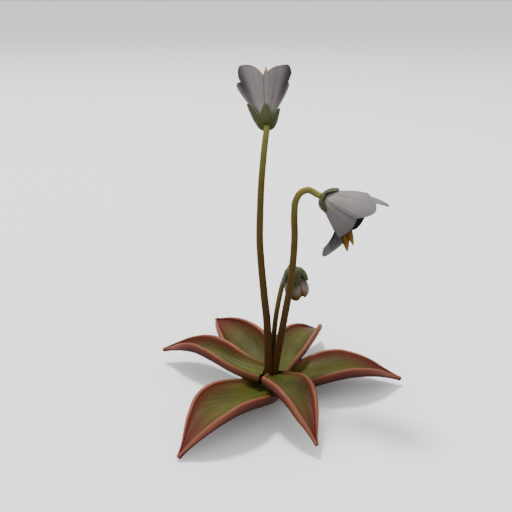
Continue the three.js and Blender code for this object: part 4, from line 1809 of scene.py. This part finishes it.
@dataclass
class Crown:
    """The short stub that leaves and stalks grow from, ringed with the scars of old leaves.

    waist is how far up it is widest, as a share of its height. The scars lie in tiers, each a
    quarter of a scar's width on from the one below.
    """

    height: float = 6.2
    foot_radius: float = 6.6
    waist_radius: float = 7.2
    top_radius: float = 6.2
    waist: float = 0.35
    tiers: int = 4
    scars: int = 9
    scar_depth: float = 0.35
    scar_roundness: float = 0.7
    tier_roundness: float = 0.6
    shoulder: float = 0.25
    shoulder_up: Pair = (0.9, 1)
    rings: int = 40
    sides: int = 72

    def surface(self) -> Surface:
        """Makes the crown.

        Returns:
            The closed surface.
        """
        share = np.linspace(0, 1, self.rings)[:, None]
        turns = circle(self.sides)[None, :]
        above = (share - self.waist) / (1 - self.waist)
        plain = np.where(share < self.waist,
                         lerp(self.foot_radius, self.waist_radius, share / self.waist),
                         lerp(self.waist_radius, self.top_radius, above))
        tier = np.floor(share * self.tiers)
        scar = np.abs(np.sin(turns * self.scars / 2 + tier * math.pi / 4)) ** self.scar_roundness
        up = np.sin(math.pi * np.clip(share * self.tiers - tier, 0, 1)) ** self.tier_roundness
        scarred = plain - self.scar_depth + self.scar_depth * scar * up
        radius = scarred * (1 - self.shoulder * smooth(share, *self.shoulder_up))
        height = np.broadcast_to(share * self.height, radius.shape)
        return tube(np.stack([radius * np.cos(turns), radius * np.sin(turns), height], axis=2), {})

    def build(self, skin: bpy.types.Material) -> None:
        """Makes the crown."""
        settle(object_from(self.surface(), "crown_skin", skin), "crown", "crown")


# ---------------------------------------------------------------- stage


@dataclass(frozen=True)
class Lamp:
    """A square soft light: where it hangs and its side, in metres, and its power in watts."""

    name: str
    place: Point
    size: float
    power: float


@dataclass
class Stage:
    """The pale floor, the soft lights and the camera, in metres.

    sky holds places from straight down, 0, to straight up, 1, with the grey of the sky there.
    """

    camera_place: Point = (-0.006099, -0.252341, 0.150906)
    camera_pitch: float = 70.0
    camera_field: float = 40.0
    camera_near: float = 0.01
    floor_size: float = 180.0
    floor_colour: Colour = (0.92, 0.92, 0.92)
    floor_roughness: float = 0.9
    sky: tuple[Pair, ...] = ((0.35, 0.15), (0.5, 0.74), (1.0, 1.3))
    lamps: tuple[Lamp, ...] = (
        Lamp("key", place=(-0.35, 0.55, 1.9), size=0.35, power=42.0),
        Lamp("fill", place=(-0.9, -1.9, 0.9), size=1.2, power=14.0))
    lit_point: Point = (0, 0, 0.05)

    def build(self) -> None:
        """Makes the floor, the sky, the lights and the camera."""
        self._floor()
        self._world()
        for lamp in self.lamps:
            self._light(lamp)
        self._camera()

    def _floor(self) -> None:
        """A large pale sheet that the crown stands on. It throws no light on the plant."""
        half = self.floor_size / 2 / MM
        corners = np.array([(-half, -half, 0), (half, -half, 0), (half, half, 0), (-half, half, 0)])
        shader = Shader("floor_paper", Roughness=self.floor_roughness,
                        Base_Color=(*self.floor_colour, 1.0))
        floor = object_from(Surface(corners, [(0, 1, 2, 3)], {}), "floor", shader.material)
        floor.visible_diffuse = False

    def _world(self) -> None:
        """A pale sky, brightest overhead and dim under the horizon."""
        world = bpy.data.worlds.new("studio")
        world.use_nodes = True
        tree = Tree(world.node_tree)
        place = tree.add("ShaderNodeTexCoord").outputs["Generated"]
        up = tree.add("ShaderNodeSeparateXYZ", {"Vector": place}).outputs["Z"]
        stops = tuple((at, (grey, grey, grey)) for at, grey in self.sky)
        sky = tree.ramp(tree.scaled(up, 0.5, 0.5), stops)
        tree.tree.links.new(sky, world.node_tree.nodes["Background"].inputs["Color"])
        bpy.context.scene.world = world

    def _light(self, lamp: Lamp) -> None:
        """Hangs a light so that it faces the plant.

        Args:
            lamp: The light's place, size and power.
        """
        data = bpy.data.lights.new(lamp.name, "AREA")
        data.energy = lamp.power
        data.size = lamp.size
        light = linked(lamp.name, data)
        light.location = lamp.place
        towards = Vector(self.lit_point) - Vector(lamp.place)
        light.rotation_euler = towards.to_track_quat("-Z", "Y").to_euler()

    def _camera(self) -> None:
        """The camera, which looks down a little on the plant."""
        data = bpy.data.cameras.new("camera")
        data.angle = math.radians(self.camera_field)
        data.clip_start = self.camera_near
        camera = linked("camera", data)
        camera.location = self.camera_place
        camera.rotation_euler = (math.radians(self.camera_pitch), 0.0, 0.0)
        bpy.context.scene.camera = camera


def main() -> None:
    """Loads the frame and builds the plant and its stage."""
    logging.basicConfig(level=logging.INFO, format="%(name)s: %(message)s")
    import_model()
    effects = Effects()
    dew = DewFinish().material(effects)
    stalk = StalkFinish().material(effects)
    petal, sepal, bud_petal = (finish.material(effects) for finish in (PETAL, SEPAL, BUD_PETAL))
    stamen = StamenFinish().material(effects)
    beads, hairs = Scatter(Grain.BEAD), Scatter(Grain.HAIR)
    Stage().build()
    Crown().build(CrownFinish().material(effects))
    Rosette().build(LeafFinish().material(effects), dew, beads)
    Stalks().build(stalk, hairs)
    for flower, skin in ((BLOOM_1, petal), (BLOOM_2, petal), (BUD, bud_petal)):
        flower.build(skin, sepal, stamen, hairs)


if __name__ == "__main__":
    main()
